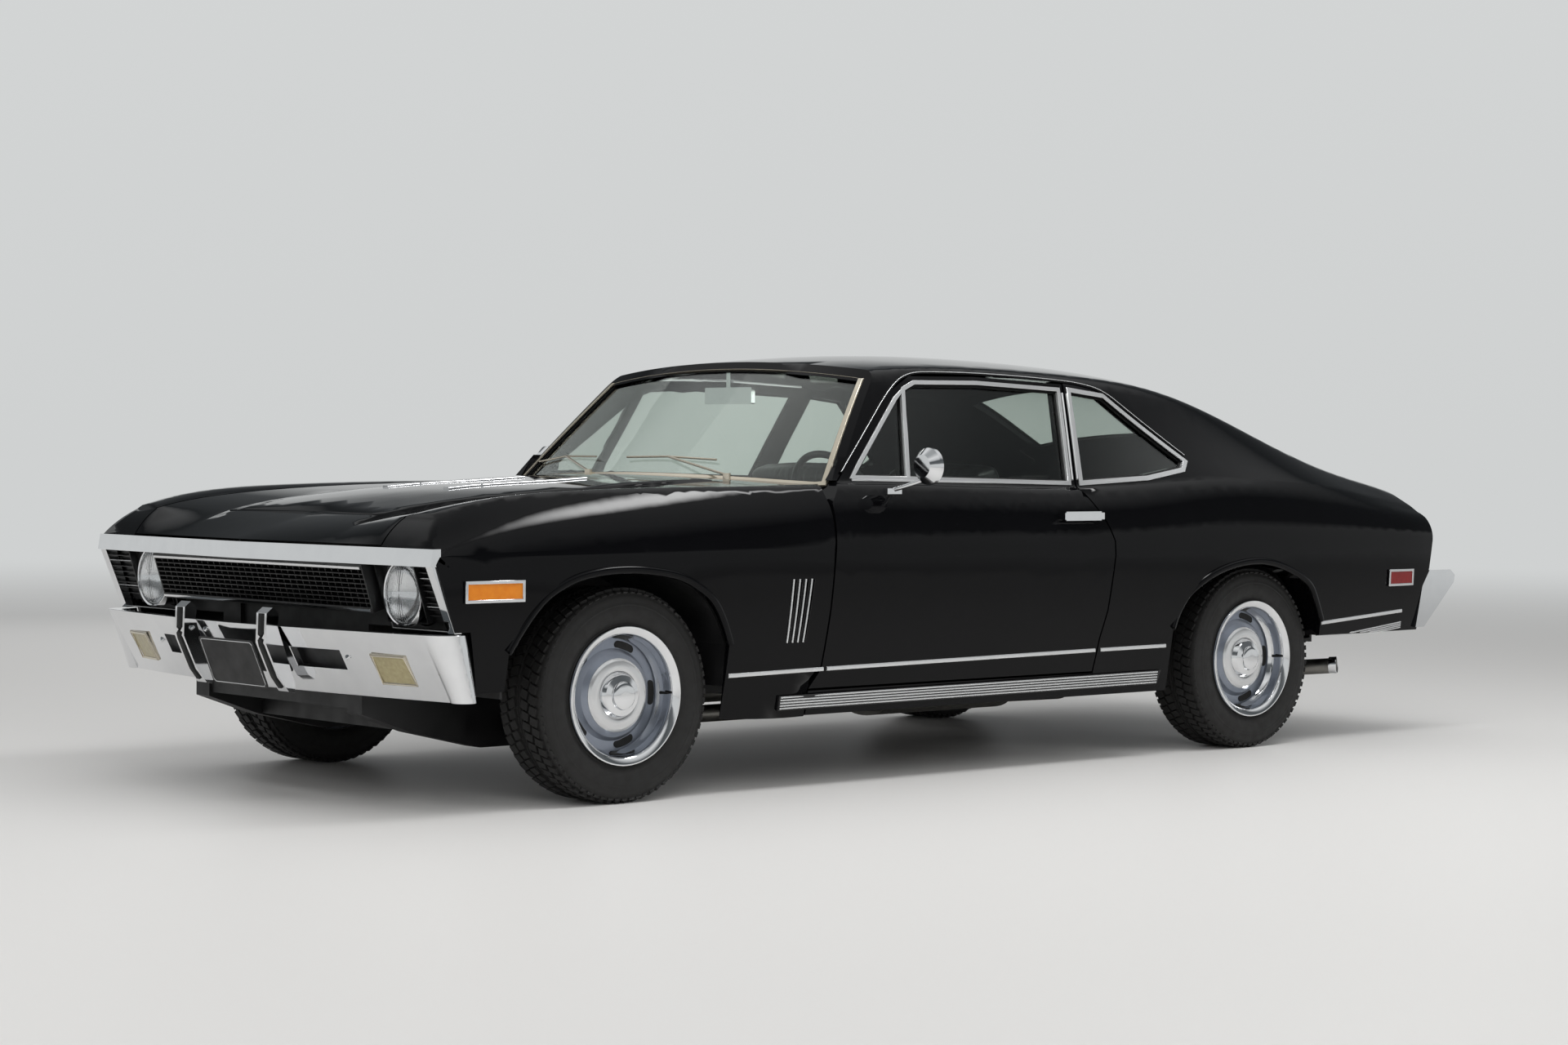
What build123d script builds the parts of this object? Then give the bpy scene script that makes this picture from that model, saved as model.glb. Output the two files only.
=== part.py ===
"""Two-door muscle coupe: body shell, doors, lids, glass, bumpers, cabin and running gear."""
from build123d import *
from math import hypot
import os

os.makedirs("parts", exist_ok=True)

# Axes: +X to the rear, +Y to the car's right, +Z up. The floor is Z = 0.
# Stations are distances behind the front axle, or behind the rear axle where a name says so.

# Overall sizes
wheelbase = 2819.0
front_overhang = 845.0
rear_overhang = 1147.0
half_width = 919.0
length = front_overhang + wheelbase + rear_overhang
front_axle = front_overhang - length / 2
rear_axle = front_axle + wheelbase

# Running gaps and walls
panel_gap = 6.5
skin = 22.0
pillar_wall = 34.0
roof_wall = 30.0
glass_thickness = 6.0
seat_gap = 0.3

# Wheels and tyres
tyre_radius = 316.0
tyre_width = 215.0
rim_radius = 190.5
rim_width = 186.0
track_half = 756.0
steer_offset = 62.0

# Side of the body, shared by every panel
sill_bottom = 225.0
sill_top = 301.0
sill_half = 872.0
crease_height = 735.0
door_inner = 790.0


def ahead(station):
    """X of a station behind the front axle."""
    return front_axle + station


def behind(station):
    """X of a station behind the rear axle."""
    return rear_axle + station


# Hood: a valley between the fender crests, with a raised panel along its middle
hood_front = ahead(-900)
hood_rear = ahead(600)
hood_half_front = 672.0
hood_half_rear = 742.0
panel_half = 470.0
panel_flare = 0.1
panel_side = 6.0

# Sections of the nose, columns: x, sill z, sill y, side y, crest y, crest z,
# z at the hood's edge, z beside the raised panel, centre z, rise of the panel
nose_sections = [
    (ahead(-840), 330, 890, 916, 798, 776, 764, 762, 781, 9),
    (ahead(-600), 330, 889, half_width, 801, 862, 856, 822, 829, 9),
    (ahead(-360), 322, 887, half_width, 804, 902, 888, 866, 875, 9),
    (ahead(-100), 282, 882, half_width, 808, 916, 906, 890, 910, 9),
    (ahead(180), 246, 876, half_width, 817, 922, 917, 912, 925, 8),
    (ahead(460), sill_bottom, sill_half, half_width, 828, 923, 924, 934, 944, 5),
    (ahead(740), sill_bottom, sill_half, half_width, 842, 924, 930, 942, 955, 2),
    (ahead(1000), sill_bottom, sill_half, half_width, 852, 926, 934, 949, 962, 0),
]

# Sections of the cabin and tail, columns: x, side y, shoulder y, shoulder z,
# belt y, belt z, rail y, rail z, roof centre z
cabin_sections = [
    (ahead(560), half_width, 852, 926, 824, 942, 706, 1215, 1262),
    (ahead(840), half_width, 852, 926, 824, 940, 687, 1254, 1299),
    (ahead(1120), half_width, 852, 925, 824, 938, 668, 1290, 1332),
    (ahead(1650), half_width, 852, 913, 824, 926, 662, 1308, 1367),
    (behind(-719), half_width, 854, 912, 828, 926, 652, 1294, 1362),
    (behind(-319), half_width, 858, 930, 836, 946, 632, 1262, 1338),
    (behind(-19), half_width, 857, 930, 838, 950, 622, 1200, 1282),
    (behind(281), 916, 852, 912, 832, 936, 640, 1098, 1168),
    (behind(544), 908, 846, 882, 820, 908, 668, 1006, 1056),
    (behind(781), 898, 836, 850, 805, 876, 690, 945, 985),
    (behind(1030), 880, 812, 822, 786, 842, 690, 890, 918),
]
lower_bulge = 13.0
upper_bulge = 15.0
crest_bulge = 4.0
rail_round = 40.0
belt_round = 9.0


def arc_middle(start, end, bulge):
    """Middle of an arc from start to end that stands outside its chord by bulge."""
    dy, dz = end[0] - start[0], end[1] - start[1]
    span = hypot(dy, dz)
    return ((start[0] + end[0]) / 2 + bulge * dz / span, (start[1] + end[1]) / 2 - bulge * dy / span)


def other_side(point):
    """The same point on the car's other side."""
    return (-point[0], point[1])


def hood_edge(x):
    """Half width of the hood at a station."""
    return hood_half_front + (hood_half_rear - hood_half_front) * (x - hood_front) / (hood_rear - hood_front)


def panel_edge(x):
    """Half width of the hood's raised panel at a station."""
    return panel_half + panel_flare * (x - front_axle)


def nose_loft(inset):
    """Loft of the nose sections, set in by inset, and open below when it is a cavity."""
    with BuildPart() as body:
        for x, sill_z, sill, side, shoulder, shoulder_z, seam_z, dip_z, centre_z, rise in nose_sections:
            low = (sill - inset, 60.0 if inset else sill_z)
            crease = (side - inset, crease_height)
            crest = (shoulder - inset, shoulder_z - inset)
            seam = (hood_edge(x) + panel_gap / 2, seam_z - inset)
            dip = (panel_edge(x) + panel_side, dip_z - inset)
            half = [low, arc_middle(low, crease, lower_bulge), crease, arc_middle(crease, crest, upper_bulge),
                    crest, arc_middle(crest, seam, crest_bulge), seam]
            with BuildSketch(Plane.YZ.offset(x)):
                with BuildLine():
                    for points in (half, [other_side(point) for point in half]):
                        for start in (0, 2, 4):
                            ThreePointArc(*points[start:start + 3])
                    Line(seam, dip)
                    ThreePointArc(dip, (0, centre_z - inset), other_side(dip))
                    Line(other_side(dip), other_side(seam))
                    Line(other_side(low), low)
                make_face()
        loft()
    return body.part


def panel_loft():
    """Loft of the hood's raised panel, its foot sunk in the hood."""
    with BuildPart() as panel:
        for x, *_, dip_z, centre_z, rise in nose_sections:
            foot = (panel_edge(x) + panel_side, dip_z - 3)
            edge = (panel_edge(x), dip_z + rise)
            with BuildSketch(Plane.YZ.offset(x)):
                with BuildLine():
                    Polyline(other_side(edge), other_side(foot), foot, edge)
                    ThreePointArc(edge, (0, centre_z + rise), other_side(edge))
                make_face()
        loft()
    return panel.part


def toward(start, end, distance):
    """Point at a distance from start on the way to end."""
    span = hypot(end[0] - start[0], end[1] - start[1])
    return (start[0] + (end[0] - start[0]) * distance / span,
            start[1] + (end[1] - start[1]) * distance / span)


def corner_middle(first, corner, last):
    """Middle of the arc that is tangent to both legs of a corner at first and last."""
    leg = hypot(first[0] - corner[0], first[1] - corner[1])
    chord_middle = ((first[0] + last[0]) / 2, (first[1] + last[1]) / 2)
    reach = hypot(chord_middle[0] - corner[0], chord_middle[1] - corner[1])
    half_chord = hypot(first[0] - last[0], first[1] - last[1]) / 2
    return toward(corner, chord_middle, leg * (leg - half_chord) / reach)


def crown_corner(waist, rail, rail_z, roof_z, cut):
    """Start of the crown arc, and the corner where its tangent there meets the side."""
    radius = (rail ** 2 + (roof_z - rail_z) ** 2) / (2 * (roof_z - rail_z))
    y = rail - cut
    z = roof_z - radius + (radius ** 2 - y ** 2) ** 0.5
    slope = -y / (z - roof_z + radius)
    side_slope = (rail_z - waist[1]) / (rail - waist[0])
    corner_y = (z - slope * y - rail_z + side_slope * rail) / (side_slope - slope)
    return (y, z), (corner_y, rail_z + side_slope * (corner_y - rail))


def cabin_loft():
    """Loft of the cabin sections: sides, tumblehome and roof in one skin."""
    with BuildPart() as body:
        for x, side, shoulder, shoulder_z, belt, belt_z, rail, rail_z, roof_z in cabin_sections:
            low = (sill_half * side / half_width, sill_bottom)
            crease = (side, crease_height)
            crest = (shoulder, shoulder_z)
            waist = (belt, belt_z)
            lower = arc_middle(low, crease, lower_bulge)
            upper = arc_middle(crease, crest, upper_bulge)
            crown, corner = crown_corner(waist, rail, rail_z, roof_z, rail_round)
            leg = hypot(crown[0] - corner[0], crown[1] - corner[1])
            rail_foot = toward(corner, waist, leg)
            ledge = toward(waist, crest, belt_round)
            upright = toward(waist, corner, belt_round)
            half = [low, lower, crease, upper, crest, ledge, corner_middle(ledge, waist, upright), upright,
                    rail_foot, corner_middle(rail_foot, corner, crown), crown]
            with BuildSketch(Plane.YZ.offset(x)):
                with BuildLine():
                    for points in (half, [other_side(point) for point in half]):
                        ThreePointArc(*points[0:3])
                        ThreePointArc(*points[2:5])
                        Line(points[4], points[5])
                        ThreePointArc(*points[5:8])
                        Line(points[7], points[8])
                        ThreePointArc(*points[8:11])
                    ThreePointArc(crown, (0, roof_z), other_side(crown))
                    Line(other_side(low), low)
                make_face()
        loft()
    return body.part


def cavity_loft():
    """Loft of the hollow inside the cabin: door_inner below the belt, pillar_wall above."""
    with BuildPart() as body:
        for x, side, shoulder, shoulder_z, belt, belt_z, rail, rail_z, roof_z in cabin_sections:
            waist = (min(door_inner, belt - pillar_wall), belt_z - 40)
            corner = (rail - pillar_wall, rail_z - roof_wall)
            foot = (waist[0], 60)
            with BuildSketch(Plane.YZ.offset(x)):
                with BuildLine():
                    Polyline(foot, waist, corner)
                    ThreePointArc(corner, (0, roof_z - roof_wall), other_side(corner))
                    Polyline(other_side(corner), other_side(waist), other_side(foot))
                    Line(other_side(foot), foot)
                make_face()
        loft()
    return body.part


def side_prism(points, inner, outer):
    """Left-hand solid over an XZ outline, from |y| = inner out to |y| = outer."""
    with BuildPart() as prism:
        with BuildSketch(Plane.XZ.offset(inner)):
            with BuildLine():
                Polyline(*points, close=True)
            make_face()
        extrude(amount=outer - inner)
    return prism.part


def plan_prism(points, low, high):
    """Solid over an XY outline between two heights."""
    with BuildPart() as prism:
        with BuildSketch(Plane.XY.offset(low)):
            with BuildLine():
                Polyline(*points, close=True)
            make_face()
        extrude(amount=high - low)
    return prism.part


def block(x_range, y_range, z_range):
    """Box between two X, two Y and two Z values."""
    with BuildPart() as box:
        with BuildSketch(Plane.XY.offset(z_range[0])):
            with Locations(((x_range[0] + x_range[1]) / 2, (y_range[0] + y_range[1]) / 2)):
                Rectangle(x_range[1] - x_range[0], y_range[1] - y_range[0])
        extrude(amount=z_range[1] - z_range[0])
    return box.part


def rod(start, end, radius):
    """Round bar between two points."""
    with BuildPart() as bar:
        with BuildLine() as path:
            Line(start, end)
        with BuildSketch(path.line ^ 0):
            Circle(radius)
        sweep()
    return bar.part


def save(piece, label):
    """Label a finished piece and write it."""
    piece.label = label
    export_step(piece, f"parts/{label}.step")


def save_pair(piece, label):
    """Write a left-hand piece and its mirror image."""
    save(piece, label + "_left")
    save(mirror(piece, about=Plane.XZ), label + "_right")


def both_sides(piece):
    """A left-hand piece joined in one node by its mirror image."""
    return Compound([*piece.solids(), *mirror(piece, about=Plane.XZ).solids()])


knuckle_radius = panel_gap / 2 - 0.3
knuckle_length = 30.0


def hinge_row(x, z, side):
    """Hinge knuckles in a panel gap, joined to the panel ahead (side -1) or behind (side 1)."""
    with BuildPart() as row:
        for step in (-1, 1):
            start = step * knuckle_length + (side - 1) * knuckle_length / 2
            add(rod((x, start + seat_gap, z), (x, start + knuckle_length, z), knuckle_radius))
            add(block(sorted((x, x + side * (panel_gap / 2 + 1))), (start + seat_gap, start + knuckle_length),
                      (z - knuckle_radius, z + knuckle_radius)))
    return row.part


nose_outer = nose_loft(0)
nose_cavity = nose_loft(skin)
cabin_outer = cabin_loft()
cabin_cavity = cavity_loft()

# Door outline and its openings, columns: x, z
door_front = [(ahead(692), 308), (ahead(738), 368), (ahead(762), 552), (ahead(778), 735), (ahead(790), 875),
              (ahead(852), 937)]
door_frame = [(ahead(868), 943), (ahead(1205), 1228), (ahead(1311), 1280), (ahead(1609), 1284),
              (behind(-785), 1268)]
door_rear = [(behind(-883), 914), (behind(-833), 837), (behind(-805), 787), (behind(-784), 742),
             (behind(-781), 694), (behind(-809), 512), (behind(-839), 419), (behind(-857), 308)]
door_outline = door_front + door_frame + door_rear
vent_window = [(ahead(946), 957), (ahead(1222), 1196), (ahead(1258), 1222), (ahead(1168), 953)]
door_window = [(ahead(1182), 953), (ahead(1274), 1230), (ahead(1325), 1250), (ahead(1609), 1254),
               (behind(-821), 1240), (behind(-909), 938)]
quarter_window = [(behind(-836), 940), (behind(-752), 1238), (behind(-590), 1222), (behind(-306), 1006),
                  (behind(-330), 984), (behind(-520), 956)]
hinge_x = ahead(850)
hinge_y = 842.0

# Wheel arches, flat over the tyre, columns: x, z of the lip from front to rear
front_arch = [(ahead(-468), 150), (ahead(-459), 461), (ahead(-265), 655), (ahead(-55), 685),
              (ahead(160), 661),
              (ahead(357), 455), (ahead(340), 150)]
rear_arch = [(behind(-480), 150), (behind(-469), 438), (behind(-331), 600), (behind(-50), 662),
             (behind(243), 584),
             (behind(329), 441), (behind(330), 150)]


arch_outward = [(-1, 0), (-1, 0), (-0.7, 0.7), (0, 1), (0.7, 0.7), (1, 0), (1, 0)]


def arch_prism(points, inner, outer, margin):
    """Wheel opening as a left-hand solid, grown by margin: legs below, a curve across the top."""
    foot_front, front, shoulder, top, back_shoulder, back, foot_back = [
        (x + margin * out_x, z + margin * out_z) for (x, z), (out_x, out_z) in zip(points, arch_outward)]
    with BuildPart() as opening:
        with BuildSketch(Plane.XZ.offset(inner)):
            with BuildLine():
                Line(foot_front, front)
                Spline(front, shoulder, top, back_shoulder, back)
                Line(back, foot_back)
                Line(foot_back, foot_front)
            make_face()
        extrude(amount=outer - inner)
    return opening.part


front_opening = arch_prism(front_arch, 600, 1000, 0)
rear_opening = arch_prism(rear_arch, 780, 1000, 0)

# Windshield surface: arcs in plan at the cowl and above the roof, columns: z, centre x, corner x
windshield_low = (925.0, ahead(666), ahead(838))
windshield_high = (1400.0, ahead(1195), ahead(1310))
windshield_half = 790.0


def windshield_front(shift):
    """Everything ahead of the windshield surface, moved to the rear by shift."""
    with BuildPart() as region:
        for z, centre, corner in (windshield_low, windshield_high):
            front = ahead(300)
            with BuildSketch(Plane.XY.offset(z)):
                with BuildLine():
                    Polyline((corner + shift, -windshield_half), (front, -windshield_half),
                             (front, windshield_half), (corner + shift, windshield_half))
                    ThreePointArc((corner + shift, windshield_half), (centre + shift, 0),
                                  (corner + shift, -windshield_half))
                make_face()
        loft(ruled=True)
    return region.part


# Front edge of hood and fenders, over the header. In plan it is swept back by nose_sweep at the sides,
# and its sloping face ends in a crease. Columns: y, length of the slope in side view, z of the crease
nose_tip = ahead(-785)
nose_sweep = 62.0
header_top = 757.0
header_low = 708.0
front_face = [(0, 285, 843), (417, 197, 840), (hood_half_front, 78, 839), (1000, 82, 837)]
face_bulge = 7.0


def swept_plane(x):
    """Upright plane through the centre line at x, square to the swept-back left front."""
    return Plane(origin=(x, 0, 0), x_dir=(half_width, nose_sweep, 0), z_dir=(nose_sweep, -half_width, 0))


def ahead_of_hood():
    """Everything ahead of the sloping front face of hood and fenders."""
    with BuildPart() as region:
        for y, slope, crease_z in front_face:
            foot = (nose_tip + nose_sweep * y / half_width, header_top)
            crease = (foot[0] + slope, crease_z)
            with BuildSketch(Plane.XZ.offset(y)):
                with BuildLine():
                    ThreePointArc(foot, arc_middle(crease, foot, face_bulge), crease)
                    Polyline(crease, (crease[0] + 40, crease_z + 60), (crease[0] + 40, 1100),
                             (hood_front - 200, 1100),
                             (hood_front - 200, 500), (foot[0], 500), foot)
                make_face()
        loft(ruled=True)
        mirror(about=Plane.XZ)
    return region.part


nose_ahead = ahead_of_hood()
nose_walls = (nose_outer - nose_ahead) - (nose_cavity - Pos(skin, 0, -skin) * nose_ahead)
walls = cabin_outer - cabin_cavity

# Header: the bright frame across the nose, with a leg down each side
header_profile = [(-12, header_low), (-4, header_top), (24, header_top), (24, header_low)]
leg_profile = [(ahead(-728), header_low + 2), (ahead(-650), 521), (ahead(-626), 521),
               (ahead(-690), header_low + 2)]
leg_inner = 885.0

with BuildPart() as header_half:
    with BuildSketch(swept_plane(nose_tip).offset(-10)):
        with BuildLine():
            Polyline(*header_profile, close=True)
        make_face()
    extrude(amount=half_width + 13)
    split(bisect_by=Plane.XZ, keep=Keep.TOP)
    add(side_prism(leg_profile, leg_inner, half_width - 3))

# Hood and what lies between the fenders, columns: x, y
windshield_foot = ahead(905)
hood_plan = [(hood_front, -hood_half_front), (hood_rear, -hood_half_rear), (hood_rear, hood_half_rear),
             (hood_front, hood_half_front)]
top_plan = [(hood_front, -hood_half_front - panel_gap), (hood_rear, -hood_half_rear - panel_gap),
            (ahead(1100), -hood_half_rear - panel_gap), (ahead(1100), hood_half_rear + panel_gap),
            (hood_rear, hood_half_rear + panel_gap), (hood_front, hood_half_front + panel_gap)]

with BuildPart() as hood:
    add(panel_loft())
    add(nose_ahead, mode=Mode.SUBTRACT)
    add(nose_walls)
    add(plan_prism(hood_plan, header_top + panel_gap, 1200), mode=Mode.INTERSECT)
hood_axis = (hood_rear + panel_gap / 2, hood.part.bounding_box().max.Z - knuckle_radius - 1)
save(hood.part + hinge_row(*hood_axis, -1), "hood")

with BuildPart() as cowl:
    add(nose_walls)
    add(block((hood_rear + panel_gap, windshield_foot), (-hood_half_rear, hood_half_rear), (850, 1200)),
        mode=Mode.INTERSECT)
save(cowl.part + hinge_row(*hood_axis, 1), "cowl")

# Fender: from the header to the door, with its rear edge relieved for the door's swing.
# Columns: radius about the door hinge, z
door_sweep = [(0, 302), (167, 302), (167, 340), (128, 380), (118, 560), (112, 735), (80, 868), (70, 960),
              (0, 960)]
fender_outline = [(ahead(-728), 747), (ahead(-650), 524), (ahead(-596), 524), (ahead(-556), 330),
                  (ahead(-460), 200),
                  (ahead(692) - panel_gap, 200), (ahead(692) - panel_gap, 308), (ahead(738) - panel_gap, 368),
                  (ahead(762) - panel_gap, 552), (ahead(778) - panel_gap, 735), (ahead(790) - panel_gap, 875),
                  (ahead(846) - panel_gap, 937), (ahead(846) - panel_gap, 1000), (ahead(-900), 1000),
                  (ahead(-900), 747)]

with BuildPart() as door_swing:
    with BuildSketch(Plane(origin=(hinge_x, -hinge_y, 0), x_dir=(1, 0, 0), z_dir=(0, -1, 0))):
        with BuildLine():
            Polyline(*door_sweep, close=True)
        make_face()
    revolve(axis=Axis((hinge_x, -hinge_y, 0), (0, 0, 1)))

with BuildPart() as fender:
    add(nose_walls)
    add(side_prism(fender_outline, 0, 1000), mode=Mode.INTERSECT)
    add(plan_prism(top_plan, 700, 1200), mode=Mode.SUBTRACT)
    add(block((ahead(-900), ahead(-600)), (-leg_inner, 0), (200, header_top)), mode=Mode.SUBTRACT)
    add(header_half.part, mode=Mode.SUBTRACT)
    add(front_opening, mode=Mode.SUBTRACT)
    add(door_swing.part, mode=Mode.SUBTRACT)
save_pair(fender.part, "fender")

# Doors: lower shell as thick as the wall, window frame above, thinner at the front and bottom edges
with BuildPart() as door:
    add(walls)
    add(side_prism(door_outline, 500, 1000), mode=Mode.INTERSECT)
    add(block((ahead(600), ahead(781)), (-868, -500), (200, 880)), mode=Mode.SUBTRACT)
    add(side_prism(vent_window, 500, 1000), mode=Mode.SUBTRACT)
    add(side_prism(door_window, 500, 1000), mode=Mode.SUBTRACT)
save_pair(door.part, "door")

# Roof with its pillars, down to the belt, columns: x, z
deck_front = behind(449)
deck_half = 652.0
belt_line = [(behind(-883) + panel_gap, 914), (behind(-870), 929), (behind(-520), 946), (behind(-259), 962),
             (behind(445), 925), (behind(500), 1400)]
roof_outline = [(ahead(842), 944), (ahead(1180), 1400)] + belt_line[:0:-1] + [(ahead(872), 944)]
seam_offsets = [(-7, 0), (-5, 5), (-2, 7), (0, 7), (12, 6)]
door_seam = [(x + dx, z + dz) for (x, z), (dx, dz) in zip(door_frame, seam_offsets)]
roof_door_cut = [(ahead(860), 900), (ahead(868) - 7, 943), *door_seam[1:],
                 (behind(-883) + panel_gap, 914)]
backlight_low = behind(395)
backlight_high = behind(-75)
backlight_plan = [(backlight_high, -470), (backlight_low, -560), (backlight_low, 560), (backlight_high, 470)]

with BuildPart() as roof:
    add(walls)
    add(side_prism(roof_outline, -1000, 1000), mode=Mode.INTERSECT)
    add(side_prism(roof_door_cut, 500, 1000), mode=Mode.SUBTRACT)
    add(mirror(side_prism(roof_door_cut, 500, 1000), about=Plane.XZ), mode=Mode.SUBTRACT)
    add(windshield_front(0), mode=Mode.SUBTRACT)
    add(plan_prism(backlight_plan, 980, 1400), mode=Mode.SUBTRACT)
    add(block((deck_front - panel_gap, behind(1300)), (-deck_half - panel_gap, deck_half + panel_gap),
              (700, 1200)),
        mode=Mode.SUBTRACT)
    add(side_prism(quarter_window, 500, 1000), mode=Mode.SUBTRACT)
    add(mirror(side_prism(quarter_window, 500, 1000), about=Plane.XZ), mode=Mode.SUBTRACT)

# Tail: side view of the rear face from the deck down, columns: x, z
tail_profile = [(behind(966), 918), (behind(981), 880), (behind(1012), 805), (behind(1010), 720),
                (behind(990), 620), (behind(930), 385)]
deck_lip = 852.0
tail_half = 750.0
tail_wall = 24.0
quarter_low = 388.0


def behind_tail(shift):
    """Outline of everything behind the tail face, moved forward by shift."""
    face = [(x - shift, z) for x, z in tail_profile]
    return [(face[0][0] - 20, 1000)] + face + [(face[-1][0] - 60, 150), (behind(1300), 150),
                                               (behind(1300), 1000)]


def full_width(points):
    """Outline in the XZ plane extruded across the whole car."""
    return side_prism(points, -1000, 1000)


after_tail = full_width(behind_tail(0))
after_tail_inside = full_width(behind_tail(tail_wall))
deck_plan_outer = [(deck_front - panel_gap, -deck_half - panel_gap), (behind(1300), -deck_half - panel_gap),
                   (behind(1300), deck_half + panel_gap), (deck_front - panel_gap, deck_half + panel_gap)]

with BuildPart() as deck_skin:
    add(cabin_outer)
    add(Pos(0, 0, -tail_wall) * cabin_outer, mode=Mode.SUBTRACT)
    add(block((deck_front, behind(1300)), (-deck_half, deck_half), (deck_lip, 1200)), mode=Mode.INTERSECT)

with BuildPart() as deck_lid:
    add(cabin_outer)
    add(block((behind(800), behind(1300)), (-deck_half, deck_half), (deck_lip, 1200)), mode=Mode.INTERSECT)
    add(after_tail_inside, mode=Mode.INTERSECT)
    add(deck_skin.part)
    add(after_tail, mode=Mode.SUBTRACT)
deck_axis = (deck_front - panel_gap / 2, deck_lid.part.bounding_box().max.Z - knuckle_radius - 1)
save(deck_lid.part + hinge_row(*deck_axis, 1), "deck_lid")
save(roof.part + hinge_row(*deck_axis, -1), "roof")

# Quarter panels, from the door to the tail
quarter_outline = [(x + panel_gap, z) for x, z in door_rear] + [
    (behind(-857) + panel_gap, sill_top), (behind(-400), sill_top), (behind(-400), 200), (behind(200), 200),
    (behind(200), quarter_low), (behind(1300), quarter_low), (behind(1300), 1400)] + belt_line[:0:-1]

with BuildPart() as quarter:
    add(walls)
    add(side_prism(quarter_outline, 0, 1000), mode=Mode.INTERSECT)
    add(plan_prism(deck_plan_outer, 700, 1200), mode=Mode.SUBTRACT)
    add(rear_opening, mode=Mode.SUBTRACT)
    add(after_tail, mode=Mode.SUBTRACT)
save_pair(quarter.part, "quarter")

# Tail panel between the quarters, under the deck lid
with BuildPart() as tail_panel:
    add(cabin_outer)
    add(block((behind(700), behind(1300)), (-tail_half, tail_half), (quarter_low, deck_lip - panel_gap)),
        mode=Mode.INTERSECT)
    add(after_tail_inside, mode=Mode.INTERSECT)
    add(after_tail, mode=Mode.SUBTRACT)
    add(quarter.part, mode=Mode.SUBTRACT)
    add(mirror(quarter.part, about=Plane.XZ), mode=Mode.SUBTRACT)
save(tail_panel.part, "tail_panel")

jack_height = sill_bottom + 1
with BuildPart() as rocker:
    add(cabin_outer)
    add(block((ahead(692), behind(-472)), (-1000, -door_inner), (jack_height, sill_top)), mode=Mode.INTERSECT)
save(both_sides(rocker.part), "rockers")

# Floor: one folded sheet from the toe board to the trunk, with a tunnel, columns: x, z of its top
floor_sheet = 16.0
floor_half = 784.0
floor_low = 262.0
trunk_floor = 452.0
floor_line = [(ahead(662), 560), (ahead(860), floor_low), (behind(-600), floor_low),
              (behind(-430), trunk_floor),
              (behind(900), trunk_floor)]
rear_well_half = 600.0
rear_well = 392.0
tunnel_half = 124.0
tunnel_top = 424.0
swing_clear = 740.0
spare_x = behind(560)
spare_pad = 70.0

with BuildPart() as tunnel:
    add(block((ahead(662), behind(-440)), (-tunnel_half, tunnel_half), (100, tunnel_top)))

with BuildPart() as floor:
    with BuildSketch(Plane.XZ.offset(-floor_half)):
        with BuildLine():
            Polyline(*floor_line)
            offset(amount=floor_sheet, side=Side.RIGHT)
        make_face()
    extrude(amount=2 * floor_half)
    add(block((ahead(662), behind(-440)), (-tunnel_half - floor_sheet, tunnel_half + floor_sheet),
              (floor_low - floor_sheet, tunnel_top + floor_sheet)))
    add(tunnel.part, mode=Mode.SUBTRACT)
    add(block((spare_x - spare_pad, spare_x + spare_pad), (-spare_pad, spare_pad),
              (trunk_floor - 1, trunk_floor + 4)))
    for side_sign in (-1, 1):
        add(block((behind(-rear_well), behind(rear_well)),
                  sorted((side_sign * rear_well_half, side_sign * 900)),
                  (200, 700)), mode=Mode.SUBTRACT)
        for start, end, low in ((ahead(600), ahead(900), sill_top), (behind(rear_well), behind(1000), 200)):
            add(block((start, end), sorted((side_sign * swing_clear, side_sign * 900)), (low, 700)),
                mode=Mode.SUBTRACT)
save(floor.part, "floor")

# Rear wheel houses, half round over the tyres
well_sheet = 8.0
with BuildPart() as rear_house:
    with BuildSketch(Plane.XZ.offset(rear_well_half)):
        with Locations((rear_axle, tyre_radius)):
            Circle(rear_well)
        with Locations((rear_axle, trunk_floor - 500)):
            Rectangle(1200, 1000, mode=Mode.SUBTRACT)
    extrude(amount=floor_half - rear_well_half)
    with BuildSketch(Plane.XZ.offset(rear_well_half + well_sheet)):
        with Locations((rear_axle, tyre_radius)):
            Circle(rear_well - well_sheet)
    extrude(amount=floor_half - rear_well_half - well_sheet, mode=Mode.SUBTRACT)

# Inner fenders: the front arch carried inboard to the engine bay
inner_fender_half = 478.0
arm_window = 140.0
with BuildPart() as inner_fender:
    add(arch_prism(front_arch, inner_fender_half, 881.6, 8))
    add(arch_prism(front_arch, inner_fender_half + well_sheet, half_width, 0), mode=Mode.SUBTRACT)
    add(block((ahead(-600), ahead(600)), (-1000, 0), (0, 330)), mode=Mode.SUBTRACT)
    add(block((front_axle - arm_window, front_axle + arm_window), (-inner_fender_half - 20, 0), (0, 470)),
        mode=Mode.SUBTRACT)
wheel_houses = Compound([*both_sides(rear_house.part).solids(), *both_sides(inner_fender.part).solids()])
save(wheel_houses, "wheel_houses")

# Firewall with its side wings, under the cowl
firewall_x = ahead(640)
wing_half = 700.0
with BuildPart() as firewall:
    add(block((firewall_x, firewall_x + 14), (-wing_half, wing_half), (330, 1100)))
    for side_sign in (-1, 1):
        add(block((firewall_x, ahead(764)), sorted((side_sign * (wing_half - 14), side_sign * wing_half)),
                  (420, 1100)))
    add(nose_cavity, mode=Mode.INTERSECT)
    add(side_prism([(ahead(600), 640), (ahead(662), 560), (ahead(860), 262), (ahead(860), 100),
                    (ahead(600), 100)], -1000, 1000), mode=Mode.SUBTRACT)
save(firewall.part, "firewall")

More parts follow.
